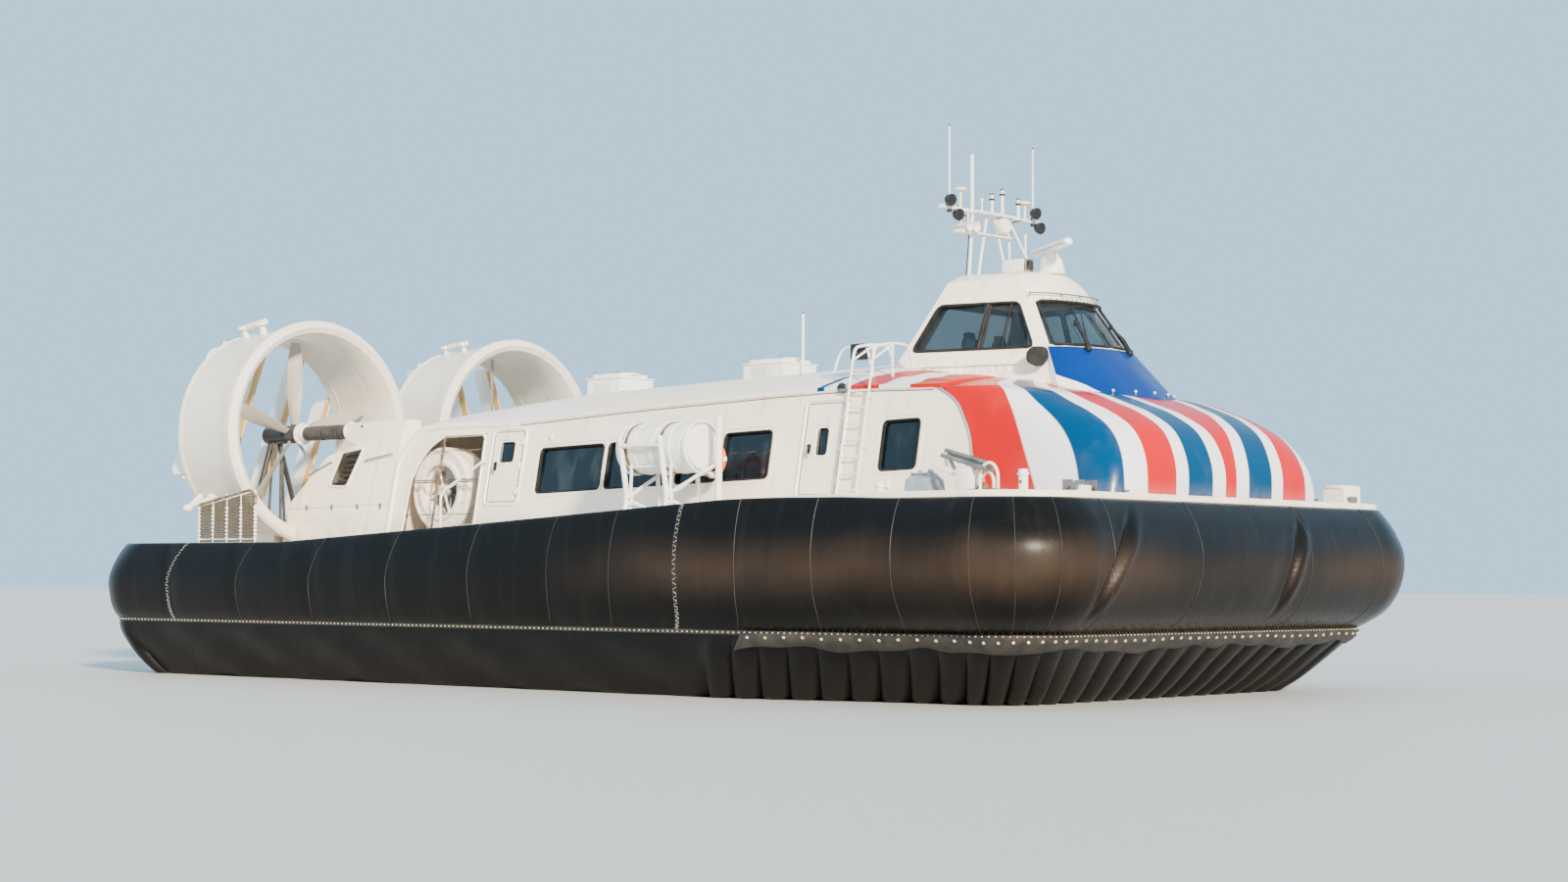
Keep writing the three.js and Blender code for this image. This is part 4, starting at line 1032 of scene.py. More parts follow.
seams = Piece("skirt_seams", "skirt_rubber", seam_rubber, seam_thread)
places = [("side", side_share(x)) for x in SIDE_SEAMS if x not in LACED]
places += [("corner", t) for t in (0.15, 0.42, 0.69)] + [("front", t) for t in (0.08, 0.62)]
places += [("quarter", t) for t in (0.3, 0.7)] + [("stern", t) for t in (0.3, 0.65)]
for side in BOTH:
    for segment, t in places:
        path = [bag_point(segment, t, side, s, 0.002) for s in SEAM_SHARES]
        seams.pipe(path, WELT, sides=6)
    for x in LACED:
        for offset in (-0.03, 0.03):
            t = side_share(x + offset)
            seams.pipe([bag_point("side", t, side, s, 0.001) for s in SEAM_SHARES], 0.007, sides=6)
        for k in range(STITCHES):
            share = 0.06 + 0.9 * k / (STITCHES - 1)
            lean_by = STITCH_REACH if k % 2 else -STITCH_REACH
            start = bag_point("side", side_share(x - lean_by), side, share, 0.004)
            end = bag_point("side", side_share(x + lean_by), side, share + 0.012, 0.004)
            seams.bar(start, end, 0.006, sides=6, finish=seam_thread)
seams.done()

# %% [markdown]
# ## The chain line
# The bag meets the fingers along a belt of bolts. They repeat hundreds of times, so each is a
# six-sided stub of a few faces.

# %% Belt and bolts
belt = Piece("skirt_belt", "skirt_rubber", seam_rubber, brass)


def belt_point(segment, t, side, drop=0.0, out_by=0.0):
    """A point on the belt, with the direction it faces."""
    (x, y), out = outline(BAG_LEVELS[-1], segment, t)
    x, y = x + out[0] * out_by, y + out[1] * out_by
    return Vector((x, -side * y, CHAIN - drop)), Vector((out[0], -side * out[1], 0))


def belt_section(segment, t, side):
    corners = ((0.012, -0.03), (0.012, 0.055), (-0.03, 0.055), (-0.03, -0.03))
    return [belt_point(segment, t, side, drop, out)[0] for out, drop in corners]


belt.loft(all_round(marks((6, 10, 40, 14, 8)), belt_section), closed=True)
for segment, count in (("stern", 44), ("quarter", 14), ("side", 190), ("corner", 16), ("front", 44)):
    for k in range(count):
        for side in BOTH:
            spot, out = belt_point(segment, (k + 0.5) / count, side, 0.02, 0.01)
            belt.bar(spot, spot + out * 0.016, 0.016, 0.008, sides=6, finish=brass)
belt.done()

# %% [markdown]
# ## Fingers
# Below the belt hang separate loops of cloth, side by side, that open towards the cushion. Each
# bulges outwards and slopes in towards its tip. Along the flanks a plain apron covers them. One
# loft follows the outline: in a finger the sections swing out and back, on the apron they wave
# only a little.

# %% Finger levels
FINGER_LEVELS = (
    # side, bow, bow radius, stern, stern radius, height, swell
    (0.235, 0.770, 1.10, 0.235, 0.90, 1.128, 0.00),
    (0.260, 0.860, 1.08, 0.260, 0.88, 1.000, 0.25),
    (0.350, 1.060, 1.04, 0.350, 0.83, 0.800, 0.60),
    (0.560, 1.420, 0.93, 0.560, 0.75, 0.450, 0.85),
    (0.760, 1.690, 0.86, 0.760, 0.65, 0.200, 1.00),
    (0.950, 1.950, 0.80, 0.950, 0.55, 0.004, 1.00),
)
FINGERS_FROM = 0.765
FINGER_SWELL = 0.13
FINGER_STEPS = 10
FINGER_ROWS = 12


def finger_marks():
    """Places with how far across its finger each one is, or None on the apron."""
    plan = (("stern", 7, 0.0), ("quarter", 3, 0.0), ("side", 9, FINGERS_FROM), ("corner", 4, 0.0))
    rows = []
    for segment, count, start in plan + (("front", 7, 0.0),):
        if start:
            rows += [(segment, start * k / 70, None) for k in range(70)]
        for n in range(count):
            for k in range(FINGER_STEPS):
                share = k / FINGER_STEPS
                rows.append((segment, start + (1 - start) * (n + share) / count, share))
    return rows + [("front", 1.0, 0.0)]


def finger_section(row, side):
    segment, t, across = row
    points = []
    for wall_thickness in (0.0, 0.03):
        line = []
        for k in range(FINGER_ROWS + 1):
            level = level_at(FINGER_LEVELS, k / FINGER_ROWS)
            (x, y), out = outline(level, segment, t)
            height, swell = level[5], level[6]
            if across is None:
                push = 0.06 * math.sin(1.3 * x) * math.sin(5 * height) * (1.1 - height)
                push += 0.03 * swell * math.sin(3.1 * x + 4 * height)
                push += 0.022 * swell * math.sin(5.2 * x - 9 * height + math.sin(1.7 * x))
            else:
                bow = math.sin(math.pi * across) ** 0.55
                push = FINGER_SWELL * swell * bow
                height += 0.07 * swell**4 * (1 - bow)
            push -= wall_thickness
            place = (x + out[0] * push, -side * (y + out[1] * push), max(0.001, height))
            line.append(Vector(place))
        points += line if wall_thickness == 0.0 else line[::-1]
    return points


rows = finger_marks()
fingers = Piece("skirt_finger_cloth", "skirt_rubber", finger_rubber)
sections = [finger_section(row, STARBOARD) for row in rows]
sections += [finger_section(row, PORT) for row in rows[-2:0:-1]]
fingers.loft(sections, closed=True)
finger_cloth = fingers.done(crease=55)
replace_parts(finger_cloth, "skirt_fingers")

# %% [markdown]
# A short strip of cloth covers the tops of the bow fingers. Its lower edge is worn and wavy, and
# a row of bright bolts pins it.

# %% Cover strip
STRIP_FROM = 0.80
strip = Piece("skirt_cover_strip", "skirt_rubber", seam_rubber, brass)


def strip_point(segment, t, side, share, thickness=0.0):
    level = level_at(FINGER_LEVELS, 0.02 + 0.36 * share)
    (x, y), out = outline(level, segment, t)
    worn = 0.035 * math.sin(2.3 * x + 1.9 * y) + 0.02 * math.sin(7.1 * x - 5.3 * y)
    height = 1.105 - share * (0.24 + worn)
    push = 0.05 + 0.1 * share - thickness
    return Vector((x + out[0] * push, -side * (y + out[1] * push), height))


def strip_section(segment, t, side):
    front = [strip_point(segment, t, side, k / 4) for k in range(5)]
    back = [strip_point(segment, t, side, k / 4, 0.018) for k in range(4, -1, -1)]
    return front + back


strip_places = [("side", STRIP_FROM + (1 - STRIP_FROM) * k / 60) for k in range(60)]
strip_places += [("corner", k / 36) for k in range(36)] + [("front", k / 40) for k in range(41)]
strip_loops = [strip_section(segment, t, STARBOARD) for segment, t in strip_places]
strip_loops += [strip_section(segment, t, PORT) for segment, t in strip_places[-2::-1]]
strip.loft(strip_loops)
for segment, count, start in (("side", 12, STRIP_FROM), ("corner", 8, 0.0), ("front", 16, 0.0)):
    for k in range(count):
        t = start + (1 - start) * (k + 0.5) / count
        for side in BOTH:
            spot = strip_point(segment, t, side, 0.3)
            out = outline(FINGER_LEVELS[1], segment, t)[1]
            normal = Vector((out[0], -side * out[1], 0.1))
            strip.bar(spot - normal * 0.01, spot + normal * 0.018, 0.028, 0.02, 8, finish=brass)
strip.done(crease=50)

# %% [markdown]
# ## The bow dome
# The dome is a moulded shell. The CAD solid has its form in a few flat rows, so a finer skin
# replaces it: half outlines at many heights, each a squared-off ellipse, bridged and thickened.

# %% Dome skin
DOME_ROWS = (
    # height, start of the curve, foremost point, squareness
    (3.3005, 8.582, 11.40, 9.0),
    (3.85, 8.54, 11.39, 7.5),
    (4.38, 8.40, 11.18, 5.0),
    (4.70, 8.23, 10.78, 3.8),
    (4.87, 8.10, 10.40, 3.4),
    (5.06, 7.87, 9.85, 3.4),
    (5.17, 7.70, 9.20, 3.4),
)
DOME_STEPS = 72
SKIN_GAP = 0.0005
BROW_X = 7.7008
BROW_GUTTER = 5.17
BROW_CROWN = 5.48


def dome_outline(share):
    """A half outline of the dome at a share of its height, from starboard to port."""
    height, start, front, squareness = level_at(DOME_ROWS, share)
    half = WALL_FOOT[0] - WALL_LEAN * (height - WALL_FOOT[1])
    points = []
    for k in range(DOME_STEPS + 1):
        angle = -math.pi / 2 + math.pi * k / DOME_STEPS
        c = max(0.0, math.cos(angle)) ** (2 / squareness)
        s = math.copysign(abs(math.sin(angle)) ** (2 / squareness), math.sin(angle))
        points.append(Vector((start + SKIN_GAP + (front - start) * c, half * s, height)))
    return points


def dome_brow():
    """The arched edge where the dome meets the front of the roof."""
    edge = dome_outline(1.0)
    reach = edge[-1][1]
    rise = BROW_CROWN - BROW_GUTTER
    heights = [BROW_GUTTER + rise * (1 - abs(p[1] / reach) ** ROOF_POWER) for p in edge]
    return [Vector((BROW_X, p[1], z)) for p, z in zip(edge, heights)]


dome = Piece("bow_dome_skin", "dome_blue", dome_bands)
dome_loops = [dome_outline(k / 30) for k in range(31)]
last, brow = dome_loops[-1], dome_brow()
for share in (0.2, 0.4, 0.6, 0.8, 1.0):
    swell = 0.06 * math.sin(math.pi * share)
    dome_loops.append(
        [a.lerp(b, share) + AXIS_Z * swell * (1 - abs(a[1] / 3.4)) for a, b in zip(last, brow)]
    )
dome.loft(dome_loops, open_ends=True)
bmesh.ops.recalc_face_normals(dome.mesh, faces=dome.mesh.faces)
bmesh.ops.solidify(dome.mesh, geom=dome.mesh.faces[:], thickness=0.03)
dome_skin = dome.done(crease=60)
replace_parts(dome_skin, "bow_dome")

# %% [markdown]
# ## Cabin windows and doors
# Each window is a sealed pane in a pressed frame: a pale flat flange on the wall with a black
# rubber gasket inside it. The flange is a rim on a rounded outline laid on the leaning wall, and
# the gasket is two pipes along the inner one.

# %% Window outlines
WINDOWS = ((-1.70, -0.01), (0.10, 1.78), (1.88, 2.88), (2.97, 4.10), (6.56, 7.36))
WINDOW_RISE = 0.028
WINDOW_HEIGHT = 0.86
WINDOW_SILL = 3.555
GASKETS = ((-0.008, 0.004), (-0.02, -0.025))


def rounded_box(x0, x1, z0, z1, radius, rise=0.0):
    corners = ((x1, z1, 0), (x0, z1, 90), (x0, z0, 180), (x1, z0, 270))
    points = []
    for x, z, start in corners:
        cx = x - radius * math.copysign(1, x - (x0 + x1) / 2)
        cz = z - radius * math.copysign(1, z - (z0 + z1) / 2)
        for k in range(6):
            angle = math.radians(start + 18 * k)
            px = cx + radius * math.cos(angle)
            points.append((px, cz + radius * math.sin(angle) + rise * (px - x0)))
    return points


def inset_box(edges, inset, radius):
    """A rounded outline inside four edges, or outside them where the inset is negative."""
    x0, x1, z0, z1 = edges
    return rounded_box(x0 + inset, x1 - inset, z0 + inset, z1 - inset, radius)


def window_outline(x0, x1, grow, radius):
    sill = WINDOW_SILL + WINDOW_RISE * (x0 - WINDOWS[0][0])
    low = sill - grow
    return rounded_box(x0 - grow, x1 + grow, low, sill + WINDOW_HEIGHT + grow, radius, WINDOW_RISE)


def flange(piece, shape, width, low, high, finish=None, side=STARBOARD):
    """A flat rim on the wall inside an outline, or a whole plate where the width is nothing."""
    rise = wall(0, 0, high, side) - wall(0, 0, low, side)
    piece.plate(laid(shape, low, side), rise, width, finish)


frames = Piece("window_frames", "cream_paint", cream)
gaskets = Piece("window_gaskets", "black_rubber", black_rubber)
for x0, x1 in WINDOWS:
    flange(frames, window_outline(x0, x1, 0.065, 0.15), 0.063, -0.004, 0.014)
    for grow, out in GASKETS:
        gaskets.pipe(laid(window_outline(x0, x1, grow, 0.085), out), 0.016, closed=True, sides=6)
frames.mirrored().done()
gaskets.mirrored().done()

# %% [markdown]
# The doors have a raised surround on the wall. On the leaf are a small rounded window with its own
# gasket, a lever handle on a plate and straps over the hinges, and all of these swing with the door.

# %% Doors
DOORS = (
    # name, then the aft, forward, low and high edges of the leaf, and those of its window
    ("passenger_door", (4.86, 5.66, 3.42, 4.99), (5.15, 5.37, 4.10, 4.56)),
    ("aft_hatch", (-3.02, -2.22, 3.42, 4.76), (-2.80, -2.44, 4.18, 4.56)),
)
LEVER = ((0.10, 0.07, 0.008), (0.10, 0.07, 0.040), (0.10, -0.06, 0.045), (0.14, -0.11, 0.040))
HINGE_SHARES = (0.12, 0.5, 0.88)
surrounds = Piece("door_surrounds", "cream_paint", cream, black_rubber)
for name, edges, window in DOORS:
    surrounds.pipe(laid(inset_box(edges, -0.065, 0.12), -0.012), 0.038, closed=True, sides=12)
    seal = laid(inset_box(edges, -0.004, 0.07), 0.002)
    surrounds.pipe(seal, 0.006, closed=True, sides=6, finish=black_rubber)
    aft, fore, low, high = edges
    middle = low + 0.47 * (high - low)
    handle_plate = rounded_box(aft + 0.06, aft + 0.16, middle - 0.04, middle + 0.14, 0.03)
    handle_recess = rounded_box(aft + 0.075, aft + 0.145, middle - 0.02, middle + 0.125, 0.02)
    pane_edge = inset_box(window, 0.004, 0.055)
    plates = (
        # outline, width of the rim, the distances of its two faces from the wall, finish
        (inset_box(window, -0.045, 0.09), 0.042, -0.003, 0.014, cream),
        (pane_edge, 0.0, -0.030, -0.024, cabin_glass),
        (inset_box(edges, 0.045, 0.08), 0.018, -0.003, 0.004, cream),
        (handle_plate, 0.0, -0.002, 0.010, bare_metal),
        (handle_recess, 0.0, 0.009, 0.012, black_rubber),
    )
    for side, label in SIDE_NAMES.items():
        finishes = (cream, black_rubber, bare_metal, cabin_glass)
        leaf = Piece(f"{name}_fittings_{label}", "cream_paint", *finishes, body=f"{name}_{label}")
        for shape, width, foot, face, finish in plates:
            flange(leaf, shape, width, foot, face, finish, side)
        leaf.pipe(laid(pane_edge, 0.0, side), 0.012, closed=True, sides=6, finish=black_rubber)
        lever = [wall(aft + dx, middle + dz, out, side) for dx, dz, out in LEVER]
        leaf.pipe(lever, 0.012, corner=0.03, finish=bare_metal)
        for share in HINGE_SHARES:
            z = low + (high - low) * share
            pin = fore + 0.012
            leaf.bar(*laid(((pin, z - 0.05), (pin, z + 0.05)), 0.025, side), 0.011)
            strap = laid(((fore - 0.09, z), (fore - 0.012, z)), 0.004, side)
            leaf.pipe(strap + [wall(fore + 0.008, z, 0.022, side)], 0.010, sides=6)
        leaf.done()
surrounds.mirrored().done()

# %% [markdown]
# ## Roof gutter and arch
# A rounded moulding runs where the roof meets the side. Aft it swells into the thick edge of the
# arch over the lift fan, and turns down to the deck. Pipes of different sizes follow these lines.

# %% Gutter and arch edge
GUTTER = ((-2.40, 4.92), (1.0, 5.08), (4.23, 5.19), (5.74, 5.22), (7.55, 5.175))
GUTTER_SEAL = [(x, z - 0.045) for x, z in GUTTER]
PANEL_EDGE = ((7.62, 5.165), (7.90, 5.03), (8.10, 4.87), (8.40, 4.38), (8.54, 3.85), (8.58, 3.31))
ARCH_EDGE = (
    (-5.77, 2.66), (-5.77, 4.25), (-5.52, 4.63), (-5.18, 4.865), (-4.7, 4.94), (-3.6, 4.93),
    (-2.40, 4.91),
)
ARCH_INSIDE = (
    (-5.34, 2.80), (-5.31, 3.86), (-5.16, 4.22), (-4.88, 4.55), (-4.53, 4.74), (-3.31, 4.74),
    (-3.27, 2.93),
)
MOULDINGS = (
    # line, distance from the wall, radius, radius of the corners, sides, finish
    (PANEL_EDGE, 0.0, 0.022, 0.2, 8, gear_grey),
    (GUTTER, -0.012, 0.036, 0.0, 10, cream),
    (GUTTER_SEAL, 0.001, 0.008, 0.0, 6, black_rubber),
    (ARCH_EDGE, -0.045, 0.085, 0.3, 14, cream),
    (ARCH_INSIDE, -0.005, 0.032, 0.12, 10, cream),
)
DASHES = (
    # start and end of a worn rubber edging, and how many lengths of it are left
    ((-4.45, 4.725), (-3.36, 4.725), 15),
    ((-3.315, 4.66), (-3.285, 3.10), 19),
)
trim = Piece("roof_mouldings", "cream_paint", cream, black_rubber, gear_grey, weathered)
for line, out, radius, corner, sides, finish in MOULDINGS:
    trim.pipe(laid(line, out), radius, corner=corner, sides=sides, finish=finish)
for (x0, z0), (x1, z1), count in DASHES:
    for k in range(count):
        ends = [(k + share) / count for share in (0.15, 0.75)]
        dash = laid([(x0 + (x1 - x0) * t, z0 + (z1 - z0) * t) for t in ends], 0.022)
        trim.bar(*dash, 0.014, sides=6, finish=weathered)
trim.mirrored().done()

# %% [markdown]
# A guard of thin bars crosses the arch so that nobody falls into the fan, and a handrail leads to
# it from the side deck. Behind, the fan's casing shows turned rings round its inlet.

# %% Arch guard and fan rings
GUARD_OUT = -0.02
GUARD_POSTS = ((-5.28, 3.95), (-4.50, 4.72), (-3.34, 4.72))
GUARD_RAILS = (
    # height, aft end, radius
    (3.835, -5.33, 0.013),
    (3.875, -5.33, 0.013),
    (3.2, -5.33, 0.008),
    (4.45, -5.0, 0.008),
)
guard = Piece("arch_guards", "dark_metal", weathered)
for x, top in GUARD_POSTS:
    for dx in (-0.02, 0.02):
        ends = ((x + dx, deck(x) + 0.03), (x + dx, top))
        guard.bar(*laid(ends, GUARD_OUT), 0.013, sides=6)
for z, aft, radius in GUARD_RAILS:
    guard.bar(*laid(((aft, z), (-3.28, z)), GUARD_OUT), radius, sides=6)
guard.mirrored().done()

FAN = Vector((-4.62, -3.10, 3.68))
FAN_RINGS = (
    # radius and distance out from the casing
    ((0.50, -0.05), (0.50, 0.03), (0.53, 0.05), (0.58, 0.045), (0.60, 0.0), (0.60, -0.05), (0.50, -0.05)),
    ((0.74, -0.05), (0.74, 0.012), (0.76, 0.02), (0.79, 0.012), (0.80, -0.05), (0.74, -0.05)),
)
rings = Piece("fan_casing_rings", "cream_paint", duct_cream, bare_metal)
for profile in FAN_RINGS:
    rings.turned(profile, FAN, (0, -1, 0), 56)
for spot in circle(FAN, 0.68, 16, AXIS_X, AXIS_Z):
    rings.bar(spot + AXIS_Y * 0.02, spot - AXIS_Y * 0.012, 0.014, sides=6, finish=bare_metal)
rings.mirrored().done()

# %% Handrails by the arch
RAIL_FOOT = Vector((-3.92, -3.72, deck(-3.92)))
RAIL_ROOT = (-3.16, 4.19)
STEP_Y = -3.9
rail = Piece("arch_handrails", "white_paint", white)
bend = (RAIL_FOOT[0], RAIL_FOOT[1], 3.60)
rail.pipe([RAIL_FOOT, bend, wall(*RAIL_ROOT, 0.10), wall(*RAIL_ROOT)], 0.024, corner=0.14)
rail.bar(RAIL_FOOT, RAIL_FOOT + AXIS_Z * 0.03, 0.06)
rail.bar(wall(*RAIL_ROOT), wall(*RAIL_ROOT, 0.012), 0.05)
for x in (-3.0, -2.5, -2.0):
    for height, radius in ((0.22, 0.02), (0.015, 0.05)):
        rail.post(x, STEP_Y, deck(x), deck(x) + height, radius)
rail.bar((-3.08, STEP_Y, deck(-3.0) + 0.21), (-1.85, STEP_Y, deck(-1.9) + 0.2), 0.022)
rail.block((-2.3, STEP_Y - 0.08, deck(-2.3)), (-1.95, STEP_Y + 0.08, deck(-1.95) + 0.14), 0.012)
rail.mirrored().done()

# %% [markdown]
# ## Engine cowls
# The cowl is a fibreglass shell. Its air opening has a rounded rim with the dark intake screen
# behind, and shallow joints, grab rails and toggle latches break up the plain sides.

# %% Cowl fittings
COWL_OPENING = ((-7.80, 3.81), (-7.23, 3.79), (-6.88, 4.58), (-7.56, 4.50))
COWL_SLATS = 7
COWL_GRABS = (((-8.45, 4.05), (-7.82, 4.30)), ((-6.76, 4.30), (-5.98, 4.42)))
COWL_JOINTS = (((-8.93, 3.36), (-5.84, 3.42)), ((-6.45, 2.70), (-6.40, 4.74)))
cowls = Piece("cowl_fittings", "cream_paint", cream, black_metal, navy, bare_metal)
rim = rounded(laid(COWL_OPENING, 0.004), 0.09, closed=True)
cowls.pipe(rim, 0.030, closed=True, sides=10)
cowls.pipe([p + AXIS_Y * 0.05 for p in rim], 0.022, closed=True, sides=6, finish=black_metal)
for k in range(COWL_SLATS):
    share = (k + 0.5) / COWL_SLATS
    ends = ((-7.80 + 0.24 * share, 3.81 + 0.70 * share), (-7.23 + 0.35 * share, 3.79 + 0.79 * share))
    cowls.bar(*laid(ends, -0.16), 0.018, sides=6, finish=black_metal)
for start, end in COWL_GRABS:
    path = [wall(*start), wall(*start, 0.05), wall(*end, 0.05), wall(*end)]
    cowls.pipe(path, 0.014, corner=0.03, finish=bare_metal)
for joint in COWL_JOINTS:
    cowls.bar(*laid(joint, -0.001), 0.005, sides=6, finish=navy)
for x, z in ((-7.15, 5.03), (-6.93, 4.99)):
    cowls.bar((x, -2.992, z), (x, -2.95, z), 0.036, sides=16, finish=black_metal)
    cowls.turned(((0.036, 0.0), (0.05, 0.004), (0.036, 0.012)), (x, -2.98, z), (0, -1, 0), 20)
for x in (-8.4, -7.6, -6.8, -6.1):
    low = wall(x, 3.36) - Vector((0.03, 0.012, 0.04))
    high = wall(x, 3.44) + Vector((0.03, 0.012, 0.0))
    cowls.block(low, high, 0.006, finish=bare_metal)
cowls.mirrored().done()

# %% [markdown]
# ## Ducts, propellers and rudders
# A duct is a short wing bent into a ring. Raised bands show where its sections meet, and the
# rudders turn in small collars at its rear rim. Spinning a small profile gives every band.

# %% Duct bands
DUCT = (-DUCT_ASIDE, DUCT_HEIGHT)
DUCT_BANDS = (
    # place along the craft, radius of the foot and of the crest, half width, slope
    (-10.54, 2.136, 2.162, 0.03, 0.0),
    (-10.60, 2.130, 2.164, 0.012, 0.0),
    (-9.32, 1.986, 1.954, 0.012, 0.006),
    (-9.40, 1.988, 1.956, 0.012, 0.006),
    (-10.35, 2.005, 1.973, 0.012, 0.006),
)
duct_bands = Piece("duct_bands", "cream_paint", duct_cream)
for x, foot, crest, half, slope in DUCT_BANDS:
    duct_bands.turned(rib(foot, crest, half, slope), (x, *DUCT), (1, 0, 0), 96)
duct_bands.mirrored().done()

# %% Shaft and hub
HUB = ((0.0, 0.0), (0.13, 0.004), (0.186, 0.05), (0.186, 0.33), (0.20, 0.34), (0.20, 0.38), (0.14, 0.44))
COLLAR = ((0.112, 0.44), (0.235, 0.44), (0.235, 0.47), (0.165, 0.49), (0.16, 0.56), (0.112, 0.60))
SLEEVES = ((0.62, 1.18), (1.22, 1.70), (1.74, 1.96))
for side, label in SIDE_NAMES.items():
    hub = Piece(f"propeller_hub_{label}", "dark_metal", black_metal, duct_cream, body=f"propeller_{label}")
    centre = Vector((-9.74, side * DUCT_ASIDE, DUCT_HEIGHT))
    hub.turned(HUB, centre, (1, 0, 0), 40)
    hub.turned(COLLAR, centre, (1, 0, 0), 40, finish=duct_cream)
    for start, end in SLEEVES:
        profile = ((0.108, start), (0.15, start + 0.01), (0.155, end - 0.01), (0.108, end))
        hub.turned(profile, centre, (1, 0, 0), 32)
    for spot in circle(centre + AXIS_X * 0.47, 0.2, 8, AXIS_Y, AXIS_Z):
        hub.bar(spot, spot + AXIS_X * 0.02, 0.012, sides=6)
    hub.done()

# %% [markdown]
# The propeller shaft enters the cowl through a nacelle with a turned flange. Behind the propeller
# the bearing stands on straight stays.

# %% Nacelle rings and stays
NACELLE = ((0.124, -0.03), (0.20, -0.03), (0.215, 0.0), (0.20, 0.04), (0.124, 0.04), (0.124, -0.03))
STAYS = ((0.0, 0.10), (0.0, -0.10), (0.13, 0.0))
stays = Piece("shaft_stays", "dark_metal", black_metal, duct_cream)
stays.turned(NACELLE, (-7.70, *DUCT), (1, 0, 0), 40, finish=duct_cream)
for dx, dy in STAYS:
    x = -10.12 + dx
    stays.bar((x, DUCT[0] + dy, 4.90), (x, DUCT[0] + dy * 2.2, 2.95), 0.03, sides=8)
stays.block((-10.3, DUCT[0] - 0.3, 2.94), (-9.9, DUCT[0] + 0.3, 3.0), 0.012)
stays.mirrored().done()

# %% Rudder edges
RUDDER_CANT = math.radians(18.9)
RUDDER_SPACING = 1.05
RUDDER_X = -10.74
RIM = 2.125
RUDDER_FLOOR = 2.72
RIBS = (0.12, 0.36, 0.62, 0.88)
primer = mottled("rudder_primer", (0.72, 0.52, 0.22, 1), (0.62, 0.50, 0.30, 1), 6, 0.5)
for side, label in SIDE_NAMES.items():
    stock = Vector((0, -side * math.sin(RUDDER_CANT), math.cos(RUDDER_CANT)))
    across = Vector((0, -side * math.cos(RUDDER_CANT), -math.sin(RUDDER_CANT)))
    for number, k in enumerate((-1.5, -0.5, 0.5, 1.5), 1):
        off = k * RUDDER_SPACING * math.cos(RUDDER_CANT)
        middle = Vector((RUDDER_X, side * DUCT_ASIDE, DUCT_HEIGHT)) + across * off
        half = math.sqrt(RIM**2 - off**2)
        low = max(-half + 0.06, (RUDDER_FLOOR - middle[2]) / stock[2] + 0.025) + 0.04
        high = half - 0.10
        rudder = f"rudder_{number}_{label}"
        edge = Piece(f"rudder_edge_{number}_{label}", "white_paint", white, primer, body=rudder)
        nose = [middle + stock * s + AXIS_X * 0.086 for s in (low, high)]
        edge.bar(*nose, 0.024, sides=10, finish=primer)
        for share in RIBS:
            root = middle + stock * (low + (high - low) * share)
            for face in (-1, 1):
                ends = [root + across * face * 0.0225 + AXIS_X * x for x in (0.07, -0.44)]
                edge.bar(*ends, 0.008, 0.004, sides=6)
        for s in (low, high - 0.05):
            root = middle + stock * s
            edge.bar(root, root + stock * 0.05, 0.045, sides=10)
        edge.done()

# %% [markdown]
# ## Wheelhouse
# Black rubber frames the big side windows and the wide windscreen. The house is an eight-sided
# hull that narrows upwards, so two helpers give points on its flat side and on its curved front.

# %% Wheelhouse surface
HOUSE_ROWS = (
    # height, rear, rear half width, front, front half width, reach of the curve
    (5.00, 5.44, 2.10, 9.12, 1.37, 0.62),
    (5.93, 5.88, 1.69, 8.56, 1.20, 0.48),
    (6.78, 6.28, 1.31, 8.03, 0.95, 0.40),
    (7.16, 6.40, 1.14, 7.66, 0.90, 0.45),
    (7.31, 6.42, 0.80, 7.56, 0.62, 0.38),
)


def house_row(z):
    for low, high in zip(HOUSE_ROWS, HOUSE_ROWS[1:]):
        if z <= high[0]:
            t = (z - low[0]) / (high[0] - low[0])
            return [a + (b - a) * t for a, b in zip(low, high)]
    return HOUSE_ROWS[-1]


def house_side(x, z, out=0.0, side=STARBOARD):
    rear, rear_half, front, front_half = house_row(z)[1:5]
    t = (x - rear) / (front - rear)
    y = rear_half + (front_half - rear_half) * t
    return Vector((x + out * 0.15, side * (y + out * 0.9), z + out * 0.4))


def house_front(y, z, out=0.0):
    front, front_half, reach = house_row(z)[3:]
    angle = math.asin(max(-1, min(1, y / front_half)))
    tilt = Vector((math.cos(angle), math.sin(angle) * 0.5, 0.35)).normalized()
    return Vector((front + reach * math.cos(angle), y, z)) + tilt * out


# %% Wheelhouse frames
SILL = 5.93
HEAD = 6.74
PANES = (
    ((6.01, SILL), (7.23, SILL), (7.23, HEAD), (6.34, HEAD)),
    ((7.30, SILL), (8.29, SILL), (7.83, HEAD), (7.30, HEAD)),
)
ALL_PANES = ((6.01, SILL), (8.29, SILL), (7.83, HEAD), (6.34, HEAD))
REAR_PANE = ((-1.25, SILL + 0.03), (1.25, SILL + 0.03), (1.0, HEAD + 0.01), (-1.0, HEAD + 0.01))
SCREEN_HALF = 1.16
BOLT_HALF = 1.05
house = Piece("wheelhouse_frames", "black_rubber", black_rubber)
for side in BOTH:
    for pane_points in PANES:
        path = [house_side(x, z, -0.03, side) for x, z in pane_points]
        house.pipe(path, 0.026, closed=True, corner=0.09, sides=6)
    house.pipe([house_side(x, z, 0.004, side) for x, z in ALL_PANES], 0.027, closed=True, corner=0.12)
    for x, radius in ((7.265, 0.040), (7.70, 0.017)):
        house.bar(house_side(x, SILL, -0.002, side), house_side(x, HEAD, -0.002, side), radius)
wide = [SCREEN_HALF * k / 10 for k in range(-10, 11)]
sill = [house_front(y, SILL + 0.03, 0.006) for y in wide]
head = [house_front(y * 0.795, HEAD + 0.01, 0.006) for y in wide[::-1]]
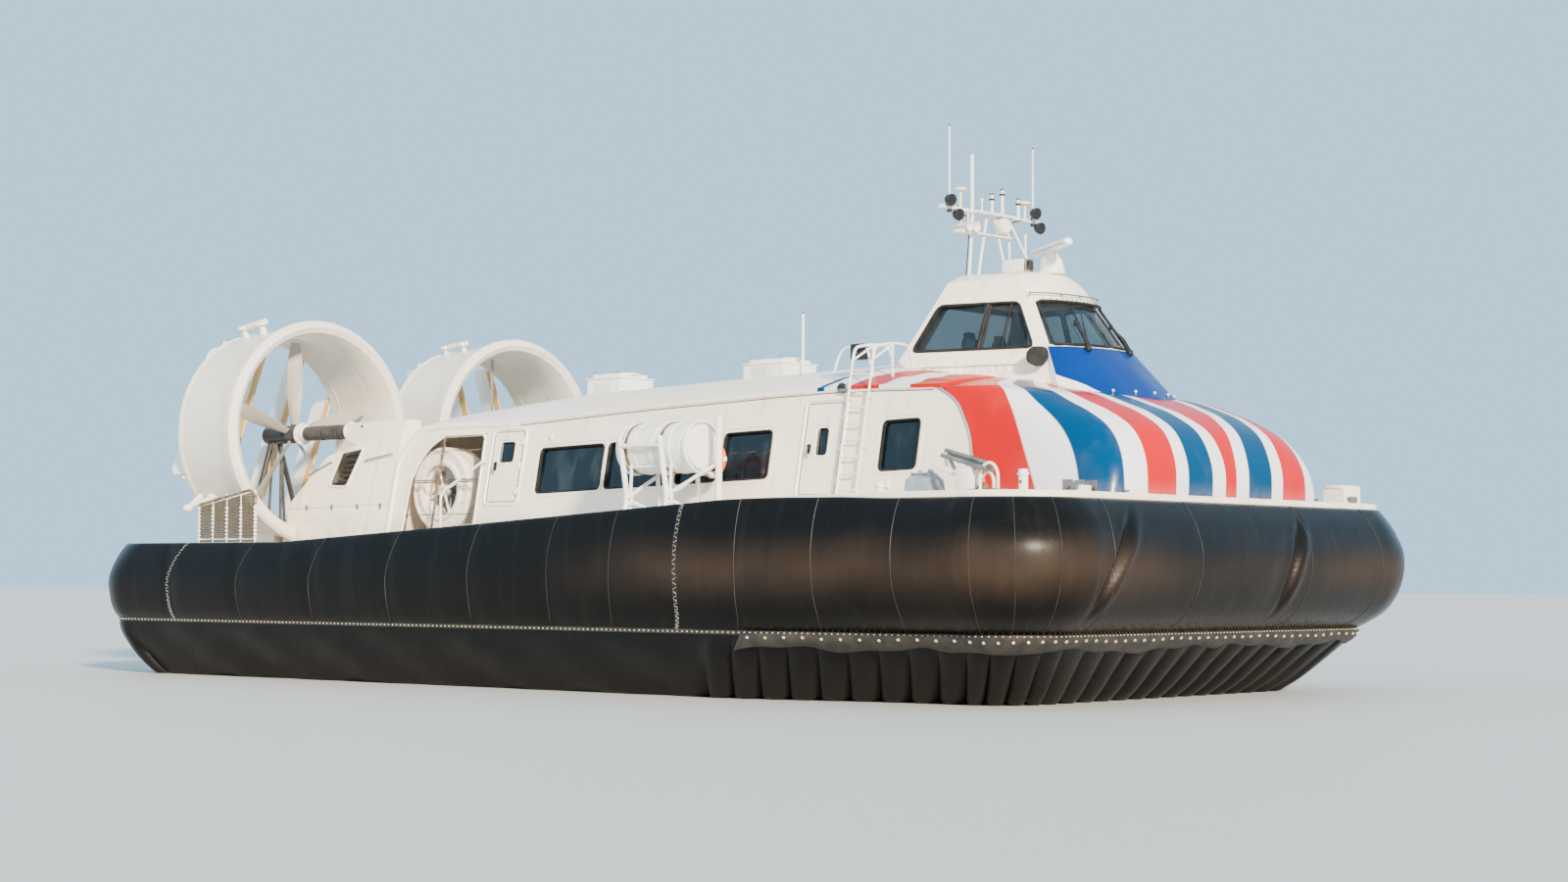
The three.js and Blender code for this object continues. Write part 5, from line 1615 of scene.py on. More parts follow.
house.pipe(rounded(sill + head, 0.09, closed=True, steps=3), 0.027, closed=True)
for y in [BOLT_HALF * k / 7 for k in range(-7, 8)]:
    for narrow, z, radius in ((1.0, SILL - 0.035, 0.012), (0.79, HEAD + 0.06, 0.010)):
        ends = [house_front(y * narrow, z, out) for out in (-0.01, 0.012)]
        house.bar(*ends, radius, sides=6)
rear = [Vector((house_row(z)[1] - 0.006, y, z)) for y, z in REAR_PANE]
house.pipe(rear, 0.027, closed=True, corner=0.1)
house.done()

# %% [markdown]
# The windscreen carries two wipers on stout arms and a wash pipe over its head. Small stanchions
# stand round its foot, each side has a grab rail, and a rounded mirror stands off each corner.

# %% Wheelhouse fittings
WIPERS = ((-0.66, -0.50), (0.52, 0.30))
WASH_Z = 6.86
WASH_HALF = 0.93
STANCHION_HEIGHT = AXIS_Z * 0.09
GRAB = ((6.1, 0.0), (6.1, 0.06), (8.1, 0.06), (8.1, 0.0))
GRAB_Z = 5.62
MIRROR_CORNERS = (
    (0, -0.205, 0.06), (0, -0.10, 0.175), (0, 0.17, 0.175),
    (0, 0.215, -0.02), (0, 0.06, -0.185), (0, -0.19, -0.10),
)
MIRROR_CASE = rounded(MIRROR_CORNERS, 0.09, closed=True)
MIRROR_PANE = [point * 0.87 for point in MIRROR_CASE]
MIRROR_PARTS = (
    # outline, distance of its rear face from the middle, depth, finish
    (MIRROR_CASE, 0.028, 0.056, black_rubber),
    (MIRROR_PANE, 0.033, 0.02, mirror_glass),
)
finishes = (lamp_black, bare_metal, mirror_glass, white, black_rubber)
fittings = Piece("wheelhouse_fittings", "dark_metal", *finishes)
for root, tip in WIPERS:
    base = house_front(root, 5.88, 0.05)
    elbow = house_front(root * 0.94, 6.12, 0.075)
    hand = house_front((root + tip) / 2, 6.34, 0.05)
    fittings.block((-0.05, -0.06, -0.05), (0.03, 0.06, 0.06), 0.02, about=base)
    fittings.pipe([base, elbow, hand], 0.026, corner=0.05)
    beside = AXIS_Y * 0.07
    fittings.pipe([base + beside, elbow + beside, hand], 0.014, corner=0.05)
    fittings.bar(house_front(tip * 1.12, 6.02, 0.024), house_front(tip * 0.86, 6.64, 0.024), 0.019, sides=6)
    fittings.block((-0.03, -0.03, -0.05), (0.02, 0.03, 0.05), 0.01, about=hand)
    fittings.ball(base, 0.055)
wash = [house_front(WASH_HALF * k / 8, WASH_Z, 0.07) for k in range(-8, 9)]
fittings.pipe(wash, 0.014, finish=bare_metal)
for k in range(0, 17, 4):
    inward = house_front(WASH_HALF * (k - 8) / 8, WASH_Z, 0.0)
    fittings.bar(inward, wash[k], 0.010, sides=6, finish=bare_metal)
    fittings.bar(wash[k], wash[k] - Vector((-0.01, 0, 0.07)), 0.009, sides=6, finish=bare_metal)
for degrees in range(-80, 81, 20):
    angle = math.radians(degrees)
    foot = Vector((9.02 + 0.90 * math.cos(angle), 1.46 * math.sin(angle), 5.05))
    fittings.bar(foot, foot + STANCHION_HEIGHT, 0.016, sides=8, finish=bare_metal)
    fittings.ball(foot + STANCHION_HEIGHT, 0.026, sides=10, finish=white)
for side in BOTH:
    pivot = Vector((8.50, side * 1.23, 5.73))
    centre = Vector((8.56, side * 1.50, 5.73))
    fittings.pipe([pivot, pivot + Vector((0.02, side * 0.15, 0.03)), centre], 0.016, corner=0.03)
    tilt = Matrix.Rotation(side * math.radians(28), 4, "Z")
    for shape, back, deep, finish in MIRROR_PARTS:
        face = [centre + tilt @ Vector((-back, -side * p[1], p[2])) for p in shape]
        fittings.plate(face, tilt @ Vector((deep, 0, 0)), finish=finish)
    grab = [house_side(x, GRAB_Z, out, side) for x, out in GRAB]
    fittings.pipe(grab, 0.014, corner=0.03, finish=white)
fittings.done()

# %% [markdown]
# A strip of painted flashing seals the house to the roof. It was dressed down by hand, so it is
# puckered all the way along.

# %% Wheelhouse flashing
STRIP_ROWS = ((5.50, 0.010), (5.57, 0.030), (5.64, 0.026), (5.70, 0.010), (5.715, -0.01), (5.50, -0.02))
FLASHING_STEPS = 108
flashing = Piece("wheelhouse_flashing", "cream_paint", cream)
for side in BOTH:
    sections = []
    for k in range(FLASHING_STEPS + 1):
        x = 5.78 + 2.72 * k / FLASHING_STEPS
        ripple = 0.5 + 0.5 * math.cos(math.tau * k / 6 + 0.8 * math.sin(1.9 * k))
        swell = 0.45 + 0.75 * ripple
        row = [house_side(x, z, out * swell if out > 0 else out, side) for z, out in STRIP_ROWS]
        sections.append(row)
    flashing.loft(sections)
flashing.done()

# %% [markdown]
# ## Mast instruments
# The yard carries aerials, satellite receivers like small mushrooms, navigation lamps with glass
# drums, black floodlights and a pair of horns. Each is a few turned shapes on a stub of pipe.

# %% Mast
MAST_X = 6.47
YARD = 8.48
LAMP_POSTS = ((0.05, 8.86), (0.36, 8.98), (0.85, 8.86))
RECEIVERS = ((-0.88, 8.86), (1.05, 8.82))
RECEIVER = ((0.0, 0.0), (0.05, 0.0), (0.115, 0.03), (0.115, 0.055), (0.06, 0.085), (0.0, 0.09))
FLOODLIGHTS = ((6.58, -1.10, 8.36), (6.56, -1.30, 8.60), (6.58, 1.22, 8.62), (6.60, 1.32, 8.36))
FLOODLIGHT = ((0.0, -0.10), (0.05, -0.10), (0.095, -0.03), (0.11, 0.05), (0.10, 0.06), (0.0, 0.045))
HORN = (
    (0.02, -0.25), (0.03, 0.0), (0.05, 0.14), (0.10, 0.22), (0.085, 0.215), (0.03, 0.02), (0.0, 0.0),
)
DRUM = Vector((6.56, 0.25, 8.28))
DRUM_PROFILE = ((0.0, -0.09), (0.13, -0.09), (0.15, -0.05), (0.15, 0.07), (0.12, 0.11), (0.0, 0.12))
CABLES = (
    ((6.50, 0.9, 8.46), (6.49, 0.62, 8.40), (6.49, 0.56, 8.1), (6.49, 0.60, 7.6), (6.50, 0.66, 7.34)),
    ((6.42, -0.9, 8.45), (6.42, -0.56, 8.38), (6.42, -0.58, 7.9), (6.43, -0.66, 7.34)),
)
WHIPS = ((-1.20, 9.945), (1.30, 9.835))
FINIAL = ((0.0, 9.50), (0.02, 9.498), (0.037, 9.47), (0.037, 9.42))
mast = Piece("mast_instruments", "white_paint", warm_white, lamp_black, lamp_glass)
for y, top in LAMP_POSTS:
    mast.post(MAST_X, y, YARD, top - 0.12, 0.032)
    mast.post(MAST_X, y, top - 0.12, top - 0.09, 0.05, sides=14, finish=lamp_black)
    mast.post(MAST_X, y, top - 0.09, top - 0.02, 0.04, sides=14, finish=lamp_glass)
    mast.post(MAST_X, y, top - 0.02, top, 0.05, 0.035, sides=14, finish=lamp_black)
for y, top in RECEIVERS:
    mast.post(MAST_X, y, YARD, top - 0.06, 0.026)
    mast.turned(RECEIVER, (MAST_X, y, top - 0.07), (0, 0, 1), 24)
mast.post(MAST_X, -0.25, YARD, 8.72, 0.016)
mast.post(MAST_X, -0.25, 8.68, 8.74, 0.028)
for x, y, z in FLOODLIGHTS:
    mast.turned(FLOODLIGHT, (x, y, z), (1, -0.25, -0.25), 20, finish=lamp_black)
    mast.bar((MAST_X, y, YARD), (x - 0.03, y, z), 0.012, sides=6, finish=lamp_black)
for y in (-0.86, -0.66):
    mast.turned(HORN, (6.45, y, 8.20), (1, 0, -0.1), 20)
    mast.post(MAST_X, y, 8.2, YARD, 0.015)
mast.block((6.36, -0.95, 8.06), (6.58, -0.55, 8.13), 0.015)
mast.turned(DRUM_PROFILE, DRUM, (1, -0.2, 0), 28)
mast.bar(DRUM, (6.44, DRUM[1], DRUM[2]), 0.05)
mast.post(MAST_X, DRUM[1], 8.1, YARD, 0.03)
mast.bar((6.45, 0.60, 8.42), (7.02, 0.66, 7.32), 0.024)
mast.post(6.72, 0.72, 7.32, 8.15, 0.020)
mast.post(6.72, 0.72, 8.12, 8.17, 0.032)
for cable in CABLES:
    mast.pipe(cable, 0.011, corner=0.1, sides=6, finish=lamp_black)
for y, top in WHIPS:
    mast.post(MAST_X, y, YARD - 0.05, YARD + 0.16, 0.032, sides=12)
    mast.post(MAST_X, y, YARD - 0.08, YARD - 0.03, 0.045, sides=12, finish=lamp_black)
    mast.ball((MAST_X, y, top - 0.012), 0.02, finish=lamp_black)
mast.turned(FINIAL, (MAST_X, -0.54, 0), (0, 0, 1), 20)
mast.done()

# %% Radar and searchlight
RADAR = (7.80, 0, 0)
ARM_TURN = Matrix.Rotation(-0.62, 4, "Z")
ARM_SHAPE = rounded_box(-0.088, 0.088, -0.072, 0.072, 0.068)
ARM_ENDS = ((0.905, 0.52), (0.895, 0.78), (0.870, 0.94), (0.820, 1.0))
RADAR_FOOT = ((0.0, 7.664), (0.10, 7.664), (0.105, 7.69), (0.085, 7.73), (0.0, 7.74))
SEARCH_TURRET = (
    (0.235, 0.0), (0.245, 0.05), (0.22, 0.12), (0.17, 0.22), (0.125, 0.30), (0.12, 0.345), (0.07, 0.348),
)


def on_arm(z, point):
    """A place on the radar's arm, given in the arm's own directions from one height."""
    return Vector((RADAR[0], RADAR[1], z)) + ARM_TURN @ Vector(point)


radar = Piece("radar_bar_cover", "white_paint", white, lamp_black, body="radar_scanner")
arm_rows = [(-x, grow) for x, grow in ARM_ENDS] + [(x, grow) for x, grow in ARM_ENDS[::-1]]
radar.loft([[on_arm(7.784, (x, y * grow, z * grow)) for y, z in ARM_SHAPE] for x, grow in arm_rows])
for y in (-0.0885, 0.0885):
    radar.bar(on_arm(7.760, (-0.80, y, 0)), on_arm(7.760, (0.80, y, 0)), 0.004, sides=6, finish=lamp_black)
radar.turned(RADAR_FOOT, RADAR, (0, 0, 1), 28)
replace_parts(radar.done(), "radar_scanner")

search = Piece("searchlight_casing", "cream_paint", warm_white, weathered, mirror_glass)
search.block((7.10, -0.52, 7.335), (7.58, -0.26, 7.565), 0.022)
search.block((7.57, -0.515, 7.34), (7.610, -0.265, 7.56), 0.012, finish=weathered)
search.block((7.60, -0.485, 7.37), (7.616, -0.295, 7.53), 0.005, finish=mirror_glass)
search.post(7.3, -0.39, 7.312, 7.35, 0.08, sides=20)
search.turned(SEARCH_TURRET, (7.80, 0, 7.311), (0, 0, 1), 40)
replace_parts(search.done(), "searchlight")

# %% [markdown]
# ## Life rafts
# The raft is a big moulded canister held by straps in a frame of thick tubes. Its two halves meet
# in a bolted flange, and each half has stiffening rings and a domed end. A lifebuoy hangs beside it.

# %% Raft canister
RAFT = Vector((2.655, -4.30, 4.25))
RAFT_RADIUS = 0.445
RAFT_RINGS = (
    # place along the canister, half width, height
    (-0.79, 0.03, 0.020),
    (-0.42, 0.012, 0.012),
    (0.0, 0.05, 0.026),
    (0.42, 0.012, 0.012),
    (0.79, 0.03, 0.020),
)
RAFT_STRAPS = (-0.60, 0.22)
RAFT_END = ((0.40, 0.79), (0.385, 0.825), (0.30, 0.85), (0.12, 0.865), (0.0, 0.868))
raft = Piece("raft_canister", "white_paint", white, bare_metal, weathered)
ring_foot = RAFT_RADIUS - 0.01
for shift, half, height in RAFT_RINGS:
    profile = rib(ring_foot, RAFT_RADIUS + height, half, 0.012)
    raft.turned(profile, RAFT + AXIS_X * shift, (1, 0, 0), 40)
for end in (-1, 1):
    raft.turned(RAFT_END, RAFT, (end, 0, 0), 40)
for shift in RAFT_STRAPS:
    profile = rib(ring_foot, RAFT_RADIUS + 0.008, 0.03)
    raft.turned(profile, RAFT + AXIS_X * shift, (1, 0, 0), 40, finish=weathered)
for spot in circle(RAFT - AXIS_X * 0.06, RAFT_RADIUS + 0.012, 20, AXIS_Y, AXIS_Z):
    raft.bar(spot, spot + AXIS_X * 0.12, 0.010, sides=6, finish=bare_metal)
raft.mirrored().done()

# %% [markdown]
# Two leaning posts hold the canister from outside, with plates bolted at their knees, and braces
# run back to the deck. A taller post stands ahead of them. The buoy is carried by a bar from that
# post and by one from the frame's inner leg.

# %% Raft frame
FRAME_FOOT = deck(2.6)
FRAME_POSTS = (2.02, 2.98)
TALL_POST = (3.86, -4.30)
BUOY = Vector((3.16, -3.70, 4.06))
BUOY_RADIUS = 0.27
cradle = Piece("raft_frame", "white_paint", white, orange, bare_metal)
for x in FRAME_POSTS:
    knee = Vector((x + 0.06, -4.72, FRAME_FOOT + 0.33))
    cradle.pipe([(x + 0.06, -4.80, FRAME_FOOT + 0.01), knee, (x, -4.86, 4.42)], 0.05, corner=0.12, sides=12)
    cradle.ball((x, -4.86, 4.42), 0.052, (1, 1, 0.6))
    cradle.block((-0.06, -0.012, -0.13), (0.10, 0.055, 0.10), about=knee)
    cradle.bar(knee, (x + 0.02, -3.92, 3.78), 0.036, sides=8)
    cradle.bar(knee + Vector((0.02, 0, -0.02)), (x + 0.42, -4.25, FRAME_FOOT + 0.02), 0.030, sides=8)
    cradle.bar((x + 0.03, -3.92, 3.80), (x + 0.05, -3.88, FRAME_FOOT), 0.04)
    cradle.post(x + 0.06, -4.80, FRAME_FOOT, FRAME_FOOT + 0.025, 0.10, sides=16)
    for dx, dz in ((0.0, -0.08), (0.0, 0.05), (0.06, -0.02)):
        spot = knee + Vector((dx + 0.02, -0.02, dz))
        cradle.bar(spot, spot - AXIS_Y * 0.02, 0.014, sides=6, finish=bare_metal)
cradle.bar((FRAME_POSTS[0], -4.85, 4.28), (FRAME_POSTS[1], -4.85, 4.28), 0.04)
tall_foot = deck(TALL_POST[0])
cradle.post(*TALL_POST, tall_foot, 4.76, 0.06, sides=14)
cradle.ball((*TALL_POST, 4.76), 0.061, (1, 1, 0.5))
cradle.post(*TALL_POST, tall_foot, tall_foot + 0.03, 0.12, sides=16)
cradle.bar((3.46, -4.30, 3.86), (*TALL_POST, 3.70), 0.03, sides=8)
cradle.bar((3.05, -4.78, FRAME_FOOT + 0.36), (3.80, -4.34, 3.92), 0.028, sides=8)
spokes = [Matrix.Rotation(math.tau * k / 32, 3, "Y") @ (AXIS_X * BUOY_RADIUS) for k in range(32)]
cradle.pipe([BUOY + spoke for spoke in spokes], 0.052, closed=True, sides=10, finish=orange)
for spoke in spokes[::8]:
    along = AXIS_Y.cross(spoke).normalized()
    cradle.bar(BUOY + spoke - along * 0.035, BUOY + spoke + along * 0.035, 0.058, sides=12)
cradle.bar((*TALL_POST, 4.12), BUOY + spokes[0], 0.02, sides=8)
cradle.bar((3.01, -3.92, 3.78), BUOY + spokes[10], 0.02, sides=8)
cradle.mirrored().done()

# %% [markdown]
# ## The roof
# Two low air conditioning units sit on the roof with a lid joint, side louvres and lifting eyes,
# and two round hatches lie between and ahead of them. Further forward are an aerial, two hooped
# lamp brackets and the black lamps by the ladders.

# %% Roof units
UNITS = (
    # aft, forward, half width, foot, top
    (-3.20, -2.30, 0.48, 5.55, 6.04),
    (1.00, 2.00, 0.48, 5.70, 6.12),
)
LOUVRES = 7
LIFTING_EYE = ((-0.04, 0), (-0.04, 0.05), (0.04, 0.05), (0.04, 0))
FAN_COLLAR = ((0.19, -0.01), (0.205, 0.02), (0.185, 0.03), (0.175, 0.0))
GRILLE_HEIGHT = AXIS_Z * 0.018
roof = Piece("roof_fittings", "white_paint", white, lamp_black, bare_metal, lamp_glass)
for x0, x1, half, low, top in UNITS:
    roof.block((x0 - 0.03, -half - 0.03, top - 0.10), (x1 + 0.03, half + 0.03, top - 0.07), 0.012)
    for k in range(LOUVRES):
        z = low + 0.10 + k * 0.028
        for side in BOTH:
            y = side * half
            roof.block((x0 + 0.18, y - 0.012, z), (x1 - 0.18, y + 0.012, z + 0.014), 0.004)
    for x in (x0 + 0.12, x1 - 0.12):
        for y in (-half + 0.1, half - 0.1):
            eye = [(x + dx, y, top + rise) for dx, rise in LIFTING_EYE]
            roof.pipe(eye, 0.008, corner=0.03, sides=6, finish=bare_metal)
    for share in (0.25, 0.75):
        centre = Vector((x0 + (x1 - x0) * share, 0, top))
        roof.turned(FAN_COLLAR, centre, (0, 0, 1), 32)
        for radius in (0.05, 0.095, 0.14):
            loop = circle(centre + GRILLE_HEIGHT, radius, 24, AXIS_X, AXIS_Y)
            roof.pipe(loop, 0.004, closed=True, sides=4, finish=bare_metal)
        wires = circle(centre + GRILLE_HEIGHT, 0.18, 8, AXIS_X, AXIS_Y)
        for k in range(4):
            roof.bar(wires[k + 4], wires[k], 0.004, sides=4, finish=bare_metal)

# %% Roof aerial and lamps
AERIAL_X = 2.08
HOOP_Y = 2.60
HOOP = ((5.02, 5.56), (5.10, 5.80), (5.24, 5.99), (5.76, 5.99), (5.86, 5.56))
WALL_LAMP = (-1.47, 4.62)
HATCH = ((0.23, -0.02), (0.24, 0.03), (0.215, 0.05), (0.20, 0.04), (0.19, 0.045), (0.0, 0.075))
roof.post(AERIAL_X, 0, 5.74, 5.86, 0.05, 0.03, sides=14)
roof.post(AERIAL_X, 0, 5.84, 6.98, 0.030, 0.026, sides=12)
roof.post(AERIAL_X, 0, 6.98, 7.01, 0.022, sides=12, finish=lamp_black)
for side in BOTH:
    roof.ball((5.56, side * 3.04, 5.25), 0.10, (1.0, 0.55, 0.85), finish=lamp_black)
    roof.ball((5.56, side * 3.07, 5.20), 0.07, (1.0, 0.5, 0.7), finish=bare_metal)
    for x in (5.68, 5.92):
        roof.bar((x, side * 3.07, 5.20), (x, side * 3.12, 5.20), 0.03, sides=12, finish=bare_metal)
    lamp_face = wall(*WALL_LAMP, 0.03, side)
    roof.bar(wall(*WALL_LAMP, 0.0, side), lamp_face, 0.06, 0.045, sides=16)
    roof.ball(lamp_face, 0.035, (1, 0.6, 1), finish=lamp_glass)
    low = wall(6.73, 3.50, 0.0, side) - AXIS_Y * 0.05
    high = wall(6.86, 3.63, 0.0, side) + AXIS_Y * 0.05
    roof.block(low, high, 0.02)
    y = side * HOOP_Y
    roof.pipe([(x, y, z) for x, z in HOOP], 0.026, corner=0.14, sides=10)
    roof.block((5.47, y - 0.11, 5.76), (5.75, y + 0.11, 6.03), 0.015, finish=lamp_black)
    roof.block((5.745, y - 0.09, 5.78), (5.752, y + 0.09, 6.01), 0.004, finish=lamp_black)
    roof.block((5.56, y + side * 0.11, 5.86), (5.62, y + side * 0.122, 5.90), 0.004, finish=lamp_glass)
for x in (-4.2, -1.2, 3.3):
    for y in (-1.5, 1.5):
        roof.ball((x, y, roof_height(x, y)), 0.035, (1, 1, 0.7), finish=bare_metal)
for x in (-0.6, 4.3):
    crown = roof_height(x, 0)
    roof.turned(HATCH, (x, 0, crown), (0, 0, 1), 36)
    for y in (-0.12, 0.12):
        spot = (x + 0.2, y, crown + 0.04)
        roof.block((-0.03, -0.02, -0.012), (0.05, 0.02, 0.012), 0.006, finish=bare_metal, about=spot)
roof.done()

# %% [markdown]
# ## Boarding ladders
# Each ladder is bracketed to the wall and hoops over at the roof, so the crew can climb to the
# wheelhouse. Round rungs and small brackets finish it.

# %% Ladder fittings
LADDER_SIDES = (5.80, 6.24)
RUNGS = 9
ladder = Piece("ladder_fittings", "white_paint", white)
for k in range(RUNGS):
    z = 3.16 + 0.285 * k
    ladder.bar(wall(5.86, z, 0.111), wall(6.18, z, 0.111), 0.019, sides=8)
for x in LADDER_SIDES:
    for z in (3.35, 4.2, 5.05):
        ladder.bar(wall(x, z), wall(x, z, 0.10), 0.016, sides=8)
        ladder.bar(wall(x, z), wall(x, z, 0.012), 0.045, sides=12)
    top = wall(x, 5.68, 0.11)
    path = [top, top + Vector((0, 0.06, 0.24)), (x, -2.52, 6.02), (x, -2.05, 6.02), (x, -1.95, 5.70)]
    ladder.pipe(path, 0.027, corner=0.16, sides=10)
ladder.bar((LADDER_SIDES[0], -2.3, 6.02), (LADDER_SIDES[1], -2.3, 6.02), 0.020, sides=8)
ladder.mirrored().done()

# %% [markdown]
# ## Stern fences
# A screen of dark mesh in a tube frame guards the side deck by the duct. The mesh is drawn as
# thin wires in both directions, so light passes through it.

# %% Stern fences
FENCE_Y = -5.30
FENCE_WIRE = 0.0115
FENCE_AFT = -9.38
FENCE_FALL = 0.28
FENCE_RUN = 1.75
TOP_TUBE = ((-9.40, 3.41), (-7.75, 3.685), (-7.60, 3.60), (-7.60, 3.40))
fence = Piece("stern_fence_mesh", "dark_metal", weathered, fence_wire, warm_white)
for k in range(46):
    x = FENCE_AFT + k * 0.0389
    top = 3.40 + FENCE_FALL * (x - FENCE_AFT) / FENCE_RUN
    fence.post(x, FENCE_Y, 2.66, top, FENCE_WIRE, sides=4, finish=fence_wire)
for k in range(30):
    z = 2.68 + 0.034 * k
    x = FENCE_AFT - 0.01 + max(0.0, FENCE_RUN * (z - 3.40) / FENCE_FALL)
    fence.bar((x, FENCE_Y, z), (-7.63, FENCE_Y, z), FENCE_WIRE, sides=4, finish=fence_wire)
fence.pipe([(x, FENCE_Y, z) for x, z in TOP_TUBE], 0.036, corner=0.08, sides=8)
for k in range(5):
    for n in range(9):
        z = 2.72 + 0.075 * n
        fence.post(-9.40 + 0.45 * k, FENCE_Y, z, z + 0.034, 0.041, finish=warm_white)
fence.mirrored().done()

# %% [markdown]
# ## Duct brackets
# Jacking brackets stick out of the duct's rim at the top, and struts with rounded pads low down,
# near the rudder linkage.

# %% Duct brackets
DUCT_SKIN = 2.14
TOP_BRACKETS = ((72, 1.0), (108, 0.8))
LOW_BRACKETS = (-38, -142)
PAD = Vector((0.07, 0.07, 0.07))
brackets = Piece("duct_brackets", "cream_paint", duct_cream)


def on_duct(x, angle, radius):
    across = radius * math.cos(angle)
    return Vector((x, DUCT[0] - across, DUCT[1] + radius * math.sin(angle)))


for degrees, size in TOP_BRACKETS:
    angle = math.radians(degrees)
    for x, height in ((-10.35, 0.20), (-9.75, 0.26)):
        reach = DUCT_SKIN + height * size
        tip = on_duct(x, angle, reach)
        brackets.bar(on_duct(x, angle, DUCT_SKIN), tip, 0.09 * size, 0.06 * size, sides=12)
        brackets.bar(tip, on_duct(x, angle, reach + 0.05), 0.15 * size, 0.13 * size, sides=16)
    ends = [on_duct(x, angle, DUCT_SKIN + rise * size) for x, rise in ((-10.42, 0.20), (-9.62, 0.30))]
    brackets.bar(*ends, 0.07 * size)
for degrees in LOW_BRACKETS:
    angle = math.radians(degrees)
    brackets.bar(on_duct(-10.45, angle, 2.10), on_duct(-10.45, angle, 2.55), 0.075, 0.05, sides=12)
    brackets.bar(on_duct(-9.9, angle, 2.15), on_duct(-10.45, angle, 2.5), 0.05)
    brackets.ball(on_duct(-10.45, angle, 2.56), 0.11, (1, 1, 0.8))
    for x in (-10.05, -9.45):
        brackets.block(-PAD, PAD, 0.02, about=on_duct(x, angle, 2.19))
brackets.mirrored().done()

# %% [markdown]
# ## Foredeck
# The bow carries mooring gear: a stowed boarding gangway on a stand, two tube hoops, a ventilator,
# a windlass with planks beside it, cleats along the front and small posts near the edge.

# %% Gangway and hoops
STAND_Y = -4.61
GANGWAY_RAILS = ((0.0, 0.0), (-0.08, -0.10), (-0.08, 0.10))
HOSE = ((9.06, 3.96), (9.16, 3.72), (9.42, 3.66), (9.66, 3.76), (9.80, 3.74))
HOOPS = (
    # aft end, width, height, distance from the middle
    (9.72, 0.34, 0.50, -4.66),
    (9.64, 0.22, 0.36, -4.50),
)
finishes = (cream, white, bare_metal, weathered, gear_grey, gear_blue, orange)
bow = Piece("foredeck_gear", "cream_paint", *finishes)
bow.block((9.26, -4.72, deck(9.4)), (9.58, -4.50, 3.74), 0.03, finish=white)
bow.bar((9.00, STAND_Y, 3.62), (9.02, STAND_Y, 4.00), 0.028, sides=8)
bow.bar((8.92, STAND_Y, 3.72), (9.28, STAND_Y, 3.60), 0.03, sides=8)
for dz, dy in GANGWAY_RAILS:
    path = [(x, STAND_Y + dy, z + dz) for x, z in ((9.00, 4.02), (9.45, 3.90), (9.86, 3.78))]
    bow.pipe(path, 0.036, corner=0.1, sides=10, finish=bare_metal)
bow.pipe([(x, STAND_Y, z) for x, z in HOSE], 0.032, corner=0.08, finish=bare_metal)
for share in (0.15, 0.35, 0.55, 0.75):
    x = 9.02 + 0.84 * share
    z = 3.91 - 0.24 * share
    bow.bar((x, -4.71, z), (x, -4.51, z), 0.018, sides=8, finish=bare_metal)
for x0, width, height, y in HOOPS:
    floor = deck(x0)
    half = width / 2
    angles = [math.pi * k / 14 for k in range(15)]
    rise = [floor + height * (0.55 + 0.45 * math.sin(a)) for a in angles]
    hoop = [(x0 + half + half * math.cos(a), y, z) for a, z in zip(angles, rise)]
    bow.pipe([(x0 + width, y, floor)] + hoop + [(x0, y, floor)], 0.027, sides=10)
for x in (9.60, 9.98):
    bow.block((x - 0.10, -4.74, deck(x)), (x + 0.12, -4.42, deck(x) + 0.10), 0.03, finish=bare_metal)
bow.ball((9.72, -4.60, 3.42), 0.10, (1, 0.7, 0.8), finish=weathered)
bow.ball((9.66, -4.52, 3.52), 0.055, (1, 0.8, 1), finish=orange)

# %% Posts and ventilator
VENT = (8.30, -4.25)
VENT_CORNERS = ((8.02, -4.45), (8.58, -4.45), (8.58, -4.05), (8.02, -4.05))
VENT_ROWS = ((0, 1.10), (0.03, 1.05), (0.04, 0.98), (0.28, 0.90), (0.36, 0.62), (0.38, 0.55))
for x, y, top in ((10.50, -4.60, 3.69), (7.62, -4.55, 3.55)):
    floor = deck(x)
    bow.post(x, y, floor, top, 0.075, sides=16, finish=white)
    bow.post(x, y, top - 0.09, top - 0.06, 0.095, sides=16, finish=white)
    bow.post(x, y, floor, floor + 0.02, 0.11, sides=16, finish=white)
    bow.bar((x, y - 0.08, top - 0.20), (x, y - 0.05, top - 0.20), 0.03, finish=weathered)
low = deck(VENT[0])
vent_loops = [
    [(VENT[0] + (x - VENT[0]) * grow, VENT[1] + (y - VENT[1]) * grow, low + rise) for x, y in VENT_CORNERS]
    for rise, grow in VENT_ROWS
]
bow.loft(vent_loops, finish=gear_grey)
bow.block((8.12, -4.40, low + 0.36), (8.46, -4.10, low + 0.39), 0.012, finish=gear_grey)
bow.ball((8.24, -4.28, low + 0.40), 0.045, finish=gear_grey)
bow.ball((8.40, -4.22, low + 0.40), 0.055, finish=gear_grey)

